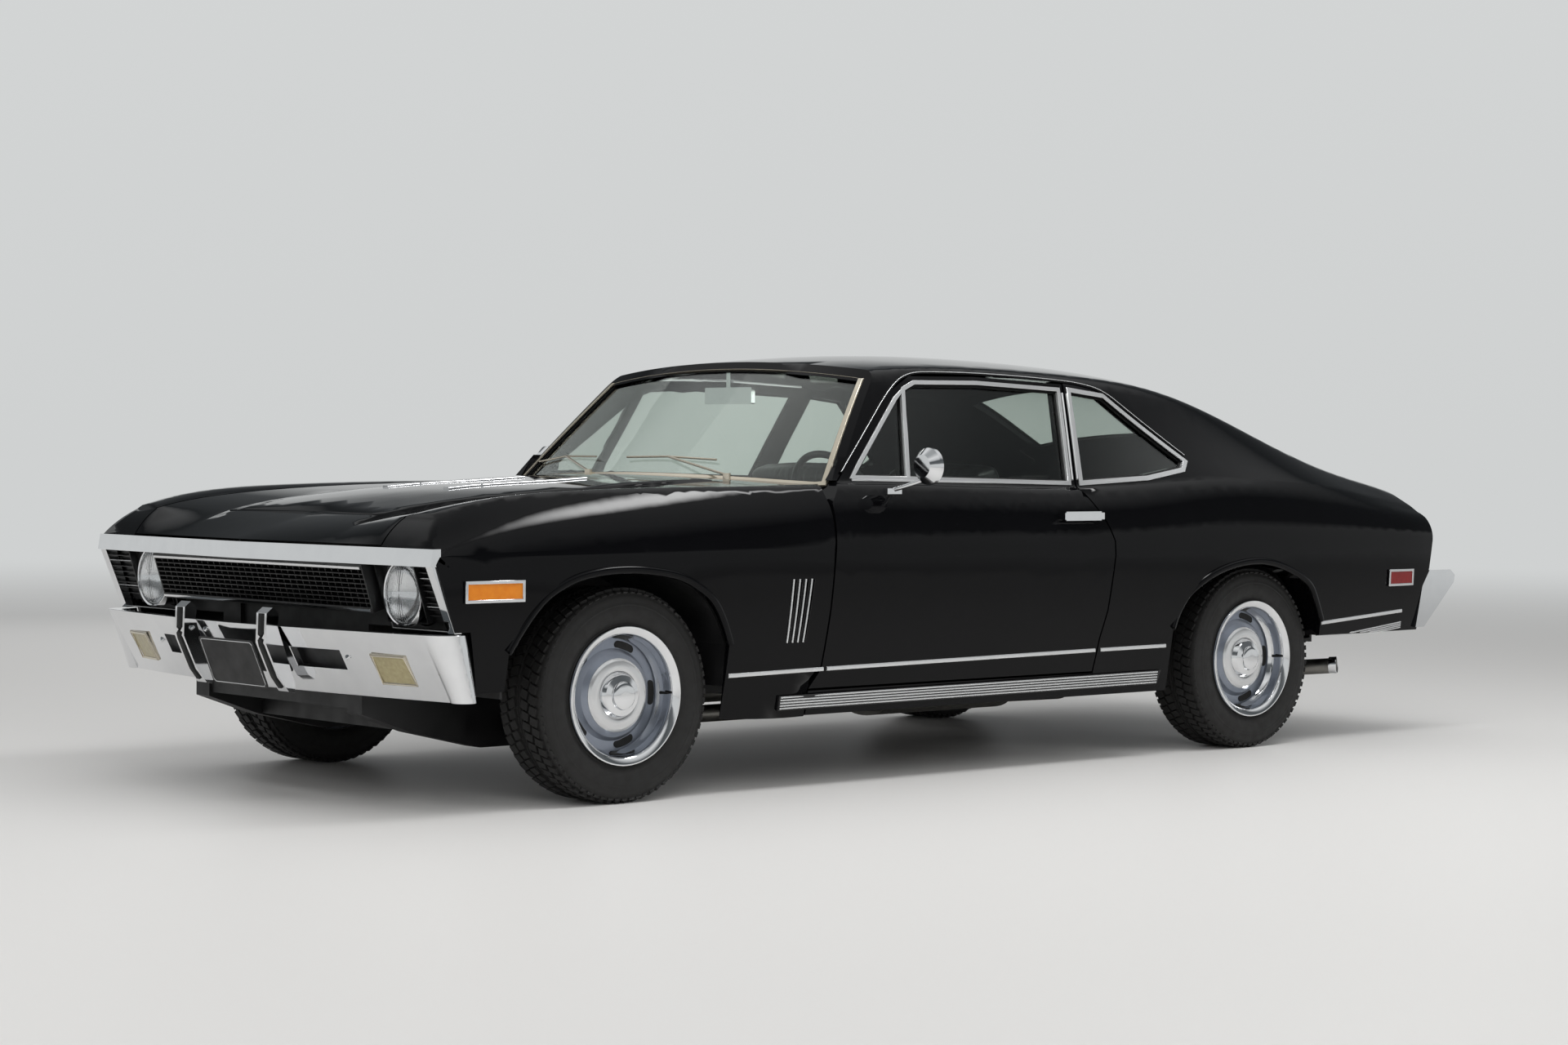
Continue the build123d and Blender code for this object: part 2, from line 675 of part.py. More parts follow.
# Glass
with BuildPart() as windshield:
    add(windshield_front(12 + glass_thickness))
    add(windshield_front(12), mode=Mode.SUBTRACT)
    add(cabin_cavity, mode=Mode.INTERSECT)
    add(nose_outer, mode=Mode.SUBTRACT)
save(windshield.part, "windshield")

with BuildPart() as backlight:
    add(Pos(0, 0, -8) * cabin_outer)
    add(Pos(0, 0, -8 - glass_thickness) * cabin_outer, mode=Mode.SUBTRACT)
    add(plan_prism(backlight_plan, 980, 1400), mode=Mode.INTERSECT)
save(backlight.part, "rear_window")

side_glass_depth = 14.0


def side_glass(outlines):
    """Left-hand panes that fill the given openings, parallel to the body side."""
    with BuildPart() as pane:
        for outline in outlines:
            add(side_prism(outline, 500, 1000))
        add(Pos(0, side_glass_depth, 0) * cabin_outer, mode=Mode.INTERSECT)
        add(Pos(0, side_glass_depth + glass_thickness, 0) * cabin_outer, mode=Mode.SUBTRACT)
    return pane.part


save_pair(side_glass([vent_window, door_window]), "door_glass")
save(both_sides(side_glass([quarter_window])), "quarter_glass")


# Grille: an egg-crate between the headlamps, leaning forward at the top
grille_x = ahead(-712)
grille_lean = 0.316
grille_half = 578.0
grille_low = 566.0
grille_high = 704.1
grille_rows = 9
grille_columns = 33
grille_bar = 3.0
grille_depth = 26.0
grille_plane = Plane(origin=(grille_x, 0, (grille_low + grille_high) / 2), x_dir=(0, 1, 0),
                     z_dir=(-1, 0, -grille_lean))
grille_rise = (grille_high - grille_low) * hypot(1, grille_lean)

with BuildPart() as grille:
    with BuildSketch(grille_plane) as frame:
        Rectangle(2 * grille_half, grille_rise)
        Rectangle(2 * grille_half - 12, grille_rise - 12, mode=Mode.SUBTRACT)
    extrude(amount=-grille_depth - 10)
    with BuildSketch(grille_plane) as bars:
        with GridLocations(0, grille_rise / (grille_rows + 1), 1, grille_rows):
            Rectangle(2 * grille_half - 6, grille_bar)
    extrude(amount=-grille_depth)
    with BuildSketch(grille_plane.offset(-6)) as uprights:
        with GridLocations(2 * grille_half / (grille_columns + 1), 0, grille_columns, 1):
            Rectangle(grille_bar, grille_rise - 6)
    extrude(amount=-grille_depth + 8)
    with BuildSketch(grille_plane.offset(-grille_depth - 10)):
        Rectangle(2 * grille_half, grille_rise)
    extrude(amount=-3)
save(grille.part, "grille")

with BuildPart() as grille_mouldings:
    for row in (-1, 1):
        with BuildSketch(grille_plane.offset(0)):
            with Locations((0, row * (grille_rise / 2 - 9))):
                Rectangle(2 * grille_half - 14, 7)
        extrude(amount=5)
header = Compound([*both_sides(header_half.part).solids(), *grille_mouldings.part.solids()])
save(header, "header")

# Headlamps in square bezels, with barred extensions out to the header's legs
lamp_y = 690.0
lamp_z = 628.0
lamp_x = ahead(-668)
lamp_radius = 89.0
bezel_half = 100.0
bezel_plane = Plane(origin=(lamp_x, -lamp_y, lamp_z), x_dir=(0, 1, 0), z_dir=(-1, 0, -grille_lean))
lamp_plane = Plane(origin=(lamp_x, -lamp_y, lamp_z), x_dir=(0, 1, 0), z_dir=(-1, 0, 0))
bezel_outer_y = 884.0

with BuildPart() as bezel:
    with BuildSketch(bezel_plane.offset(-14)):
        with Locations((-(bezel_outer_y - lamp_y - bezel_half) / 2, -8)):
            Rectangle(2 * bezel_half + bezel_outer_y - lamp_y - bezel_half, 2 * bezel_half - 8)
    extrude(amount=-16)
    with BuildSketch(bezel_plane.offset(-14)):
        with Locations((0, -8)):
            Rectangle(2 * bezel_half, 2 * bezel_half - 8)
            Rectangle(2 * bezel_half - 10, 2 * bezel_half - 18, mode=Mode.SUBTRACT)
    extrude(amount=22)
    with BuildSketch(bezel_plane.offset(-14)):
        with Locations((-(bezel_half + bezel_outer_y - lamp_y) / 2, -8)):
            with GridLocations(0, 18, 1, 9):
                Rectangle(bezel_outer_y - lamp_y - bezel_half + 2, 3)
    extrude(amount=12)
    with BuildSketch(lamp_plane):
        Circle(lamp_radius + 6)
    extrude(amount=-80, both=True, mode=Mode.SUBTRACT)
save(both_sides(bezel.part), "headlamp_bezels")

with BuildPart() as headlamp:
    with BuildSketch(Plane(origin=(lamp_x, -lamp_y, lamp_z), x_dir=(1, 0, 0), z_dir=(0, -1, 0))):
        with BuildLine():
            ThreePointArc((-16, 0), (-11, lamp_radius / 2), (4, lamp_radius))
            Polyline((4, lamp_radius), (26, lamp_radius + 5.7), (40, lamp_radius + 5.7), (70, 40), (70, 0),
                     (-16, 0))
        make_face()
    revolve(axis=Axis((lamp_x, -lamp_y, lamp_z), (1, 0, 0)))
save(both_sides(headlamp.part), "headlamps")

# Radiator support behind the lamps, and the radiator
support_x = ahead(-588)
with BuildPart() as support:
    add(block((support_x, support_x + 12), (-840, 840), (524, 780)))
    add(block((support_x, support_x + 12), (-400, 400), (360 + seat_gap, 524)))
    add(nose_cavity, mode=Mode.INTERSECT)
    add(block((support_x - 5, support_x + 20), (-300, 300), (390, 760)), mode=Mode.SUBTRACT)
    for side_sign in (-1, 1):
        with BuildSketch(Plane.YZ.offset(support_x)):
            with Locations((side_sign * lamp_y, lamp_z)):
                Circle(lamp_radius + 8)
        extrude(amount=30, both=True, mode=Mode.SUBTRACT)
    add(block((support_x + 12, support_x + 72), (-310, 310), (380, 775)))
save(support.part, "radiator")

# Front bumper: a leaning blade that wraps round the corners, columns in plan: x, y
bumper_top = 518.0
bumper_low = 326.0
bumper_drop_back = 98.0
bumper_sheet = 26.0
front_bumper_plan = [(ahead(-816), 0), (ahead(-797), -300), (ahead(-768), -600), (ahead(-722), -862)]
bumper_corner = (ahead(-690), -905)
bumper_end = (ahead(-612), -916)


def front_bumper_plan_face(height, shift):
    """Plan of the bumper bar at one height, moved to the rear by shift."""
    outer = [(x + shift, y) for x, y in front_bumper_plan]
    corner = (bumper_corner[0] + shift * 0.7, bumper_corner[1])
    end = (bumper_end[0] + shift * 0.4, bumper_end[1])
    inner = [(end[0], end[1] + bumper_sheet),
             (outer[3][0] + bumper_sheet + 24, corner[1] + bumper_sheet + 12),
             (outer[3][0] + bumper_sheet, outer[3][1] + 26), (outer[0][0] + bumper_sheet, -150)]
    with BuildSketch(Plane.XY.offset(height)) as face:
        with BuildLine():
            ThreePointArc(outer[3], outer[1], outer[0])
            ThreePointArc(outer[3], (corner[0] - 8, corner[1] - 4), end)
            Polyline(end, *inner)
            mirror(about=Plane.XZ)
            Line(inner[3], other_end(inner[3]))
        make_face()
    return face.sketch


def other_end(point):
    """The same XY point on the car's other side."""
    return (point[0], -point[1])


park_inner = 630.0
park_outer = 752.0
park_low = 370.0
park_high = 452.0
slot_inner = 262.0
slot_outer = 488.0
slot_low = 402.0
slot_high = 458.0

with BuildPart() as front_bumper:
    loft([front_bumper_plan_face(bumper_low, bumper_drop_back), front_bumper_plan_face(bumper_top, 0)],
         ruled=True)
    for side_sign in (-1, 1):
        for y_low, y_high, low, high in ((park_inner, park_outer, park_low, park_high),
                                         (slot_inner, slot_outer, slot_low, slot_high)):
            add(block((ahead(-900), ahead(-600)), sorted((side_sign * y_low, side_sign * y_high)),
                      (low, high)),
                mode=Mode.SUBTRACT)
save(front_bumper.part, "front_bumper")

# Overriders: upright guards on the bar, columns in side view: x, z
overrider_y = 228.0
overrider_width = 54.0
overrider_outline = [(ahead(-800), 556), (ahead(-822), 572), (ahead(-842), 556), (ahead(-845), 470),
                     (ahead(-800), 370),
                     (ahead(-766), 326), (ahead(-746), 322)]
overrider_seat = [(ahead(-744) + seat_gap, bumper_low + 22), (ahead(-805) + seat_gap, bumper_top - 2)]

with BuildPart() as overrider:
    add(side_prism(overrider_outline + overrider_seat, overrider_y - overrider_width / 2,
                   overrider_y + overrider_width / 2))
    add(front_bumper.part, mode=Mode.SUBTRACT)
save(both_sides(overrider.part.solids().sort_by(Axis.X)[0]), "overriders")

# Park lamps in the bar, and amber front and red rear side markers
with BuildPart() as park_lamp:
    with BuildSketch(Plane.XZ.offset(park_inner + seat_gap)):
        with BuildLine():
            Polyline((ahead(-740), park_high - 1), (ahead(-702), park_low + 1), (ahead(-672), park_low + 1),
                     (ahead(-710), park_high - 1), close=True)
        make_face()
    extrude(amount=park_outer - park_inner - 2 * seat_gap)
save(both_sides(park_lamp.part), "park_lamps")

marker_height = 44.0
marker_depth = 6.0
front_marker = (ahead(-614), ahead(-426), 636.0)
rear_marker = (behind(728), behind(865), 586.0)
markers = []
for (start, end, height), body in ((front_marker, nose_outer), (rear_marker, cabin_outer)):
    with BuildPart() as marker:
        add(Pos(0, -marker_depth, 0) * body)
        add(block((start, end), (-1000, -800), (height - marker_height / 2, height + marker_height / 2)),
            mode=Mode.INTERSECT)
        add(body, mode=Mode.SUBTRACT)
    markers += both_sides(marker.part).solids()
save(Compound(markers), "side_markers")

# Rear bumper: a blade that follows the tail, columns in side view: x, z
rear_blade = [(behind(1092), 606), (behind(1147), 588), (behind(1140), 560), (behind(960), 398),
              (behind(936), 398),
              (behind(980), 450), (behind(1060), 575)]
rear_bumper_half = 862.0
with BuildPart() as rear_bumper:
    with BuildSketch(Plane.XZ.offset(-rear_bumper_half)):
        with BuildLine():
            Polyline(*rear_blade, close=True)
        make_face()
    extrude(amount=2 * rear_bumper_half)
    for side_sign in (-1, 1):
        with BuildSketch(Plane.XZ.offset(side_sign * rear_bumper_half)):
            with BuildLine():
                Polyline((behind(1120), 608), (behind(1147), 588), (behind(1140), 560), (behind(960), 398),
                         (behind(838), 398), (behind(990), 608), close=True)
            make_face()
        extrude(amount=side_sign * 22)
    add(after_tail_inside, mode=Mode.INTERSECT)
    add(cabin_outer - after_tail, mode=Mode.SUBTRACT)
save(rear_bumper.part, "rear_bumper")

# Tail lamps on the tail panel
tail_lamp_inner = 470.0
tail_lamp_outer = 770.0
with BuildPart() as tail_lamp:
    with BuildSketch(Plane.XZ.offset(tail_lamp_inner)):
        with BuildLine():
            Polyline((behind(1012), 790), (behind(1022), 788), (behind(1020), 682), (behind(1003), 680),
                     close=True)
        make_face()
    extrude(amount=tail_lamp_outer - tail_lamp_inner)
    add(full_width([(behind(900), 1000)] + tail_profile + [(behind(900), 300)]), mode=Mode.SUBTRACT)
save(both_sides(tail_lamp.part), "tail_lamps")

# Rocker mouldings: ribbed bright strips under the doors and behind the rear wheels
moulding_depth = 8.0
with BuildPart() as rocker_moulding:
    add(Pos(0, -moulding_depth, 0) * cabin_outer)
    add(side_prism([(ahead(570), 245), (behind(-530), 251), (behind(-518), 298), (ahead(570), 290)], 800,
                   1000),
        mode=Mode.INTERSECT)
    add(cabin_outer, mode=Mode.SUBTRACT)
    add(nose_outer, mode=Mode.SUBTRACT)
save(both_sides(rocker_moulding.part), "rocker_mouldings")

# Wheels: tyre, slotted disc in a rim, then a trim ring and centre cap
rim_lip = 203.0
tyre_crown = 92.0
hub_bore = 22.3
slot_count = 5


tyre_half = tyre_width / 2
bead_half = rim_width / 2
tyre_outline = [(-bead_half, rim_radius), (bead_half, rim_radius), (bead_half + 4, rim_lip + 3),
                (tyre_half, 252),
                (tyre_half - 4, 284), (tyre_crown, 308), (tyre_crown - 26, tyre_radius),
                (26 - tyre_crown, tyre_radius), (-tyre_crown, 308), (4 - tyre_half, 284), (-tyre_half, 252),
                (-bead_half - 4, rim_lip + 3)]
rim_outline = [(-bead_half, rim_radius), (-bead_half - 8, rim_lip), (-bead_half - 12, rim_lip - 4),
               (-bead_half - 6, rim_radius - 6), (-40, rim_radius - 6), (-30, 166), (10, 166),
               (22, 166), (26, 130), (40, 118), (58, 96), (56, 70), (44, 62), (44, hub_bore),
               (54, hub_bore), (54, 56), (66, 66), (68, 98), (50, 124), (36, 136), (34, 168), (46, rim_radius - 6), (bead_half + 2, rim_radius - 6),
               (bead_half + 12, rim_lip - 4), (bead_half + 8, rim_lip), (bead_half, rim_radius)]
ring_outline = [(bead_half + 12.5, 204), (bead_half + 16, 202), (bead_half + 5, 181), (56, 178),
                (38.5, 166.5),
                (36.5, 169), (47, 184.2), (bead_half + 2.6, 184.2), (bead_half + 12.8, 199.5)]
cap_outline = [(66.6, 70), (84, 62), (90, 42), (100, 36), (103, 0), (70, 0), (70, 52), (66.6, 60)]


def ring(points):
    """Turn an outline about the front left wheel's axis, at the origin of a wheel."""
    with BuildPart() as turned:
        with BuildSketch(Plane.YZ) as outline:
            with BuildLine():
                Polyline(*[(-out, radius) for out, radius in points], close=True)
            make_face()
        revolve(axis=Axis.Y)
    return turned.part


with BuildPart() as tyre:
    add(ring(tyre_outline))

with BuildPart() as rim:
    add(ring(rim_outline))
    with BuildSketch(Plane.XZ):
        with PolarLocations(147, slot_count):
            SlotOverall(62, 20, rotation=90)
    extrude(amount=80, mode=Mode.SUBTRACT)

with BuildPart() as wheel_trim:
    add(ring(ring_outline))
    add(ring(cap_outline))

wheels = [("front_left", front_axle, 1), ("front_right", front_axle, -1), ("rear_left", rear_axle, 1),
          ("rear_right", rear_axle, -1)]
for label, axle_x, side_sign in wheels:
    for kind, solids in (("tyre", tyre.part.solids()),
                         ("wheel", rim.part.solids() + wheel_trim.part.solids())):
        piece = Compound(solids)
        placed = piece if side_sign > 0 else mirror(piece, about=Plane.XZ)
        save(Pos(axle_x, -side_sign * track_half, tyre_radius) * placed, f"{kind}_{label}")

# Knuckle: upright with its spindle and backing plate, turning about the kingpin line
kingpin_y = track_half - steer_offset
kingpin_radius = 20.0
spindle_radius = 22.0
spindle_end = track_half + 54
knuckle_low = 214.0
knuckle_high = 430.0
with BuildPart() as knuckle:
    with BuildSketch(Plane.XY.offset(knuckle_low)):
        with Locations((front_axle, -kingpin_y)):
            Circle(kingpin_radius)
    extrude(amount=knuckle_high - knuckle_low)
    with BuildSketch(Plane.XZ.offset(kingpin_y)):
        with Locations((front_axle, tyre_radius)):
            Circle(spindle_radius)
    extrude(amount=spindle_end - kingpin_y)
    with BuildSketch(Plane.XZ.offset(kingpin_y + 10)):
        with Locations((front_axle, tyre_radius)):
            Circle(140)
    extrude(amount=5)
save_pair(knuckle.part, "knuckle")

# Front subframe: rails that dip under the axle, crossmembers and control arms, columns in side view: x, z
rail_y = 420.0
rail_half = 38.0
rail_line = [(ahead(-649), 268), (ahead(-470), 204), (ahead(-230), 148), (ahead(60), 148), (ahead(230), 204),
             (ahead(430), 268), (ahead(775), 268), (ahead(775), 360), (ahead(-649), 360)]
rail = side_prism(rail_line, rail_y - rail_half, rail_y + rail_half)
with BuildPart() as subframe:
    for side_sign in (-1, 1):
        add(rail if side_sign < 0 else mirror(rail, about=Plane.XZ))
        arm_plan = [(front_axle + x, side_sign * y) for x, y in
                    ((-130, rail_y - rail_half), (-34, kingpin_y - 24), (-9, kingpin_y), (9, kingpin_y),
                     (34, kingpin_y - 24), (130, rail_y - rail_half))]
        add(plan_prism(arm_plan, knuckle_low - 30, knuckle_low - seat_gap))
        add(plan_prism(arm_plan, knuckle_high + seat_gap, knuckle_high + 26))
        add(block((front_axle - 100, front_axle + 100), sorted((side_sign * (rail_y - rail_half),
                                                                side_sign * (rail_y + 20))),
                  (knuckle_low - 30, knuckle_high + 60)))
    add(block((front_axle - 70, front_axle + 70), (-rail_y, rail_y), (150, 280)))
    add(block((ahead(-460), ahead(-404)), (-rail_y, rail_y), (206, 274)))
    add(block((ahead(-640), ahead(-596)), (-rail_y, rail_y), (280, 340)))
save(subframe.part, "front_subframe")

# Engine and gearbox as one plain mass
engine_top = 815.0
with BuildPart() as engine:
    add(block((ahead(-400), ahead(330)), (-290, 290), (290, engine_top)))
    add(block((ahead(330), ahead(900)), (-110, 110), (250, 400)))
save(engine.part, "engine")

# Rear axle with its leaf springs
axle_tube = 38.0
spring_y = 540.0
drum_inner = 690.0
with BuildPart() as rear_axle_beam:
    with BuildSketch(Plane.XZ.offset(-drum_inner)):
        with Locations((rear_axle, tyre_radius)):
            Circle(axle_tube)
    extrude(amount=2 * drum_inner)
    with Locations((rear_axle, 0, tyre_radius)):
        Sphere(112)
    add(rod((ahead(900) + seat_gap, 0, 320), (behind(-60), 0, tyre_radius), 36))
    for side_sign in (-1, 1):
        with BuildSketch(Plane.XZ.offset(side_sign * drum_inner)):
            with Locations((rear_axle, tyre_radius)):
                Circle(130)
        extrude(amount=side_sign * 26)
        with BuildSketch(Plane.XZ.offset(side_sign * (drum_inner + 26))):
            with Locations((rear_axle, tyre_radius)):
                Circle(spindle_radius)
        extrude(amount=side_sign * (spindle_end - drum_inner - 26))
save(rear_axle_beam.part, "rear_axle")

spring_top = tyre_radius - axle_tube
with BuildPart() as leaf_spring:
    with BuildSketch(Plane.XZ.offset(spring_y - 30)):
        with BuildLine():
            ThreePointArc((behind(-700), 214), (rear_axle, spring_top - 28), (behind(680), 340))
            Line((behind(680), 340), (behind(680), 352))
            ThreePointArc((behind(680), 352), (rear_axle, spring_top), (behind(-700), 226))
            Line((behind(-700), 226), (behind(-700), 214))
        make_face()
    extrude(amount=60)
    add(block((behind(-716), behind(-690)), (-spring_y - 30, -spring_y + 30), (212, floor_low - floor_sheet)))
    add(block((behind(680), behind(692)), (-spring_y - 30, -spring_y + 30), (336, trunk_floor - floor_sheet)))
    add(rear_axle_beam.part, mode=Mode.SUBTRACT)
save(both_sides(leaf_spring.part), "leaf_springs")

# Exhaust: two pipes with silencers, turned out behind the rear wheels
pipe_radius = 28.0
exhaust_y = 300.0
pipe_height = 188.0
with BuildPart() as exhaust:
    with BuildLine() as run:
        FilletPolyline((ahead(120), -328.3, 330), (ahead(420), -exhaust_y, pipe_height),
                       (behind(-760), -exhaust_y, pipe_height), radius=120)
    with BuildSketch(run.line ^ 0):
        Circle(pipe_radius)
    sweep()
    add(block((ahead(90), ahead(150)), (-330, -290.3), (300, 360)))
    with BuildSketch(Plane.YZ.offset(behind(-1350))):
        with Locations((-exhaust_y, pipe_height)):
            Ellipse(105, 42)
    extrude(amount=600)
    with BuildLine() as over_axle:
        FilletPolyline((behind(-760), -exhaust_y, pipe_height), (behind(-420), -exhaust_y - 40, pipe_height),
                       (behind(-230), -exhaust_y - 110, 394), (behind(200), -exhaust_y - 110, 394),
                       (behind(410), -exhaust_y - 130, 262), (behind(490), -640, 250),
                       (behind(590), -770, 262), radius=50)
    with BuildSketch(over_axle.line ^ 0):
        Circle(pipe_radius)
    sweep()
save(both_sides(exhaust.part), "exhaust")

with BuildPart() as fuel_tank:
    add(block((behind(250), behind(880)), (-350, 350), (262, trunk_floor - floor_sheet)))
    fillet(fuel_tank.edges().filter_by(Axis.Z), 60)
save(fuel_tank.part, "fuel_tank")

# Dashboard, from side to side under the windshield
dash_half = 696.0
dash_face = ahead(985)
with BuildPart() as dashboard:
    with BuildSketch(Plane.XZ.offset(-dash_half)):
        with BuildLine():
            Polyline((windshield_foot + seat_gap, 690), (dash_face, 690), (dash_face, 780),
                     (ahead(1040), 830),
                     (ahead(1040), 880), (ahead(985), 912), (windshield_foot + seat_gap, 915), close=True)
        make_face()
    extrude(amount=2 * dash_half)
save(dashboard.part, "dashboard")

# Steering wheel on its column
column_y = -370.0
wheel_centre = (ahead(1285), column_y, 850)
column_foot = (ahead(880), column_y, 650)
steering_radius = 195.0
column_line = Vector(*wheel_centre) - Vector(*column_foot)
steering_plane = Plane(origin=wheel_centre, x_dir=(0, 1, 0), z_dir=column_line)
with BuildPart() as steering_wheel:
    with BuildSketch(Plane(origin=wheel_centre, x_dir=(0, 1, 0), z_dir=column_line.cross(Vector(0, 1, 0)))):
        with Locations((steering_radius, 0)):
            Circle(12)
    revolve(axis=Axis(wheel_centre, column_line))
    with BuildSketch(steering_plane.offset(-26)):
        Circle(46)
        Rectangle(2 * steering_radius - 6, 34)
    extrude(amount=18)
    with BuildSketch(steering_plane.offset(-26)):
        Circle(28)
    extrude(amount=-(column_line.length - 60))
    add(dashboard.part, mode=Mode.SUBTRACT)
save(steering_wheel.part.solids().sort_by(Axis.X)[-1], "steering_wheel")

# Seats, columns in side view: x, z
seat_y = 385.0
seat_half = 240.0
cushion_outline = [(ahead(1300), 278), (ahead(1800), 278), (ahead(1800), 420), (ahead(1560), 440),
                   (ahead(1330), 470),
                   (ahead(1290), 440)]
back_outline = [(ahead(1690), 420), (ahead(1790), 404), (ahead(1935), 960), (ahead(1925), 1010),
                (ahead(1880), 1012),
                (ahead(1850), 960), (ahead(1790), 800)]
with BuildPart() as front_seat:
    with BuildSketch(Plane.XZ.offset(seat_y - seat_half)):
        with BuildLine():
            Polyline(*cushion_outline, close=True)
        make_face()
        with BuildLine():
            Polyline(*back_outline, close=True)
        make_face()
    extrude(amount=2 * seat_half)
    fillet(front_seat.edges().filter_by(Axis.Y).filter_by_position(Axis.Z, 940, 1100), 14)
    fillet(front_seat.edges().filter_by(Axis.Y).filter_by_position(Axis.X, ahead(1285), ahead(1335)), 12)
    add(block((ahead(1340), ahead(1760)), (-seat_y - 200, -seat_y + 200), (262, 290)))
save(both_sides(front_seat.part), "front_seats")

bench_half = 592.0
with BuildPart() as rear_seat:
    with BuildSketch(Plane.XZ.offset(-bench_half)):
        with BuildLine():
            Polyline((behind(-800), 262), (behind(-610), 262), (behind(-436), trunk_floor + 1),
                     (behind(-352), trunk_floor + 1),
                     (behind(-240), 900), (behind(-330), 912), (behind(-440), 520), (behind(-760), 560),
                     (behind(-850), 520), close=True)
        make_face()
    extrude(amount=2 * bench_half)
    fillet(rear_seat.edges().filter_by(Axis.Y).sort_by(Axis.Z)[-3:], 14)
    add(floor.part, mode=Mode.SUBTRACT)
    add(tunnel.part, mode=Mode.SUBTRACT)
save(rear_seat.part, "rear_seat")

# Parcel shelf and the panel behind the rear seat
with BuildPart() as parcel_shelf:
    with BuildSketch(Plane.XZ.offset(-778)):
        with BuildLine():
            Polyline((behind(-332), trunk_floor), (behind(-318), trunk_floor), (behind(-218), 912),
                     (behind(400), 912),
                     (behind(400), 924), (behind(-229), 924), close=True)
        make_face()
    extrude(amount=2 * 778)
    for side_sign in (-1, 1):
        add(block((behind(-rear_well), behind(rear_well)),
                  sorted((side_sign * rear_well_half, side_sign * 900)),
                  (200, 720)), mode=Mode.SUBTRACT)
    add(cabin_cavity, mode=Mode.INTERSECT)
save(parcel_shelf.part, "parcel_shelf")

# Door mirrors, one on each door
mirror_head = (ahead(1098), -985, 990)
mirror_radius = 58.0
with BuildPart() as door_mirror:
    with BuildSketch(Plane(origin=mirror_head, x_dir=(0, 1, 0), z_dir=(-1, 0, 0))) as back:
        Circle(mirror_radius)
    extrude(amount=-14)
    with BuildSketch(Plane(origin=mirror_head, x_dir=(0, 1, 0), z_dir=(-1, 0, 0))):
        Circle(mirror_radius)
    extrude(amount=26, taper=40)
    add(rod((ahead(1104), -970, 950), (ahead(1060), -862, 912), 7))
    add(block((ahead(1030), ahead(1092)), (-876, -846), (902, 920)))
    add(door.part, mode=Mode.SUBTRACT)

with BuildPart() as inner_mirror:
    add(block((ahead(1118), ahead(1134)), (-120, 120), (1190, 1246)))
    add(block((ahead(1120), ahead(1134)), (-10, 10), (1240, 1322)))
    fillet(inner_mirror.edges().filter_by(Axis.X), 4)
    add(cabin_cavity, mode=Mode.INTERSECT)
save(inner_mirror.part, "inner_mirror")

# Door handles and locks
with BuildPart() as door_handle:
    add(block((ahead(1776), ahead(1966)), (-936, -860), (816, 838)))
    add(block((ahead(1800), ahead(1915)), (-922, -860), (810, 842)), mode=Mode.SUBTRACT)
    add(block((ahead(1790), ahead(1960)), (-928, -918), (812, 842)))
    add(cabin_outer, mode=Mode.SUBTRACT)
save_pair(Compound([*door_mirror.part.solids(), *door_handle.part.solids()]), "door_trim")

# Wipers parked along the windshield's foot, columns: pivot, then the blade's inner end, middle and outer end
wiper_points = [((ahead(705), -480, 950), (ahead(762), 96, 1012), (ahead(768), -112, 1015),
                 (ahead(783), -337, 1006)),
                ((ahead(702), 227, 957), (ahead(784), 290, 1013), (ahead(833), 520, 1013),
                 (ahead(878), 730, 993))]
with BuildPart() as wipers:
    for pivot, inner, middle, outer in wiper_points:
        add(rod((pivot[0], pivot[1], pivot[2] - 20), (pivot[0], pivot[1], pivot[2] + 14), 13))
        add(rod((pivot[0], pivot[1], pivot[2] + 8), middle, 4))
        add(rod(inner, middle, 3.5))
        add(rod(middle, outer, 3.5))
    add(nose_outer, mode=Mode.SUBTRACT)
save(wipers.part, "wipers")
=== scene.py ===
import math

import bmesh
import bpy
from mathutils import Matrix, Vector
from mathutils.bvhtree import BVHTree
from mathutils.kdtree import KDTree


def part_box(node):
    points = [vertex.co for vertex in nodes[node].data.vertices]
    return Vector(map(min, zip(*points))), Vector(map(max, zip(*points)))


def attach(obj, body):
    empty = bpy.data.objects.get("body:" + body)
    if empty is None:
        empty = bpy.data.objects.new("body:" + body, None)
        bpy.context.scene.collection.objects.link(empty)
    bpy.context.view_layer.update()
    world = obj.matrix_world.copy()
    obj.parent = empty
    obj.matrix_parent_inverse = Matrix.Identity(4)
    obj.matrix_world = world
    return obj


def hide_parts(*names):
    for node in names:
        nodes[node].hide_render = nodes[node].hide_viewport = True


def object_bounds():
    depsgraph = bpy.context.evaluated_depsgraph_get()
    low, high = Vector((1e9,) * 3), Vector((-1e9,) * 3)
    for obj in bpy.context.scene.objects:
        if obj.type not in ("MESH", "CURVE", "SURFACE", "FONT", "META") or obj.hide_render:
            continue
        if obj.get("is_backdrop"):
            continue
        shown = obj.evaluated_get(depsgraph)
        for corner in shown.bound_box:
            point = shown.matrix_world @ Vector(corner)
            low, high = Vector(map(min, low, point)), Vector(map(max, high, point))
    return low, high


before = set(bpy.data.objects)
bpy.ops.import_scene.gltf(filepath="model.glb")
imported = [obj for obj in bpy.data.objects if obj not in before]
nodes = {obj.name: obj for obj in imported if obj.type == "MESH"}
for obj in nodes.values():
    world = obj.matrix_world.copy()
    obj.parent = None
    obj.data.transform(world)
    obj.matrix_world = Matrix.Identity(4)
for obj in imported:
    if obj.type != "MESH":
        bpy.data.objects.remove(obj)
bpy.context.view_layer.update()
scene = bpy.context.scene
print("frame loaded")

# the nose points to -X, the left side to -Y; stations in the tables are behind the front axle
axles = {"front": -1.5605, "rear": 1.2585}
front = axles["front"]
sides = {"left": -1, "right": 1}


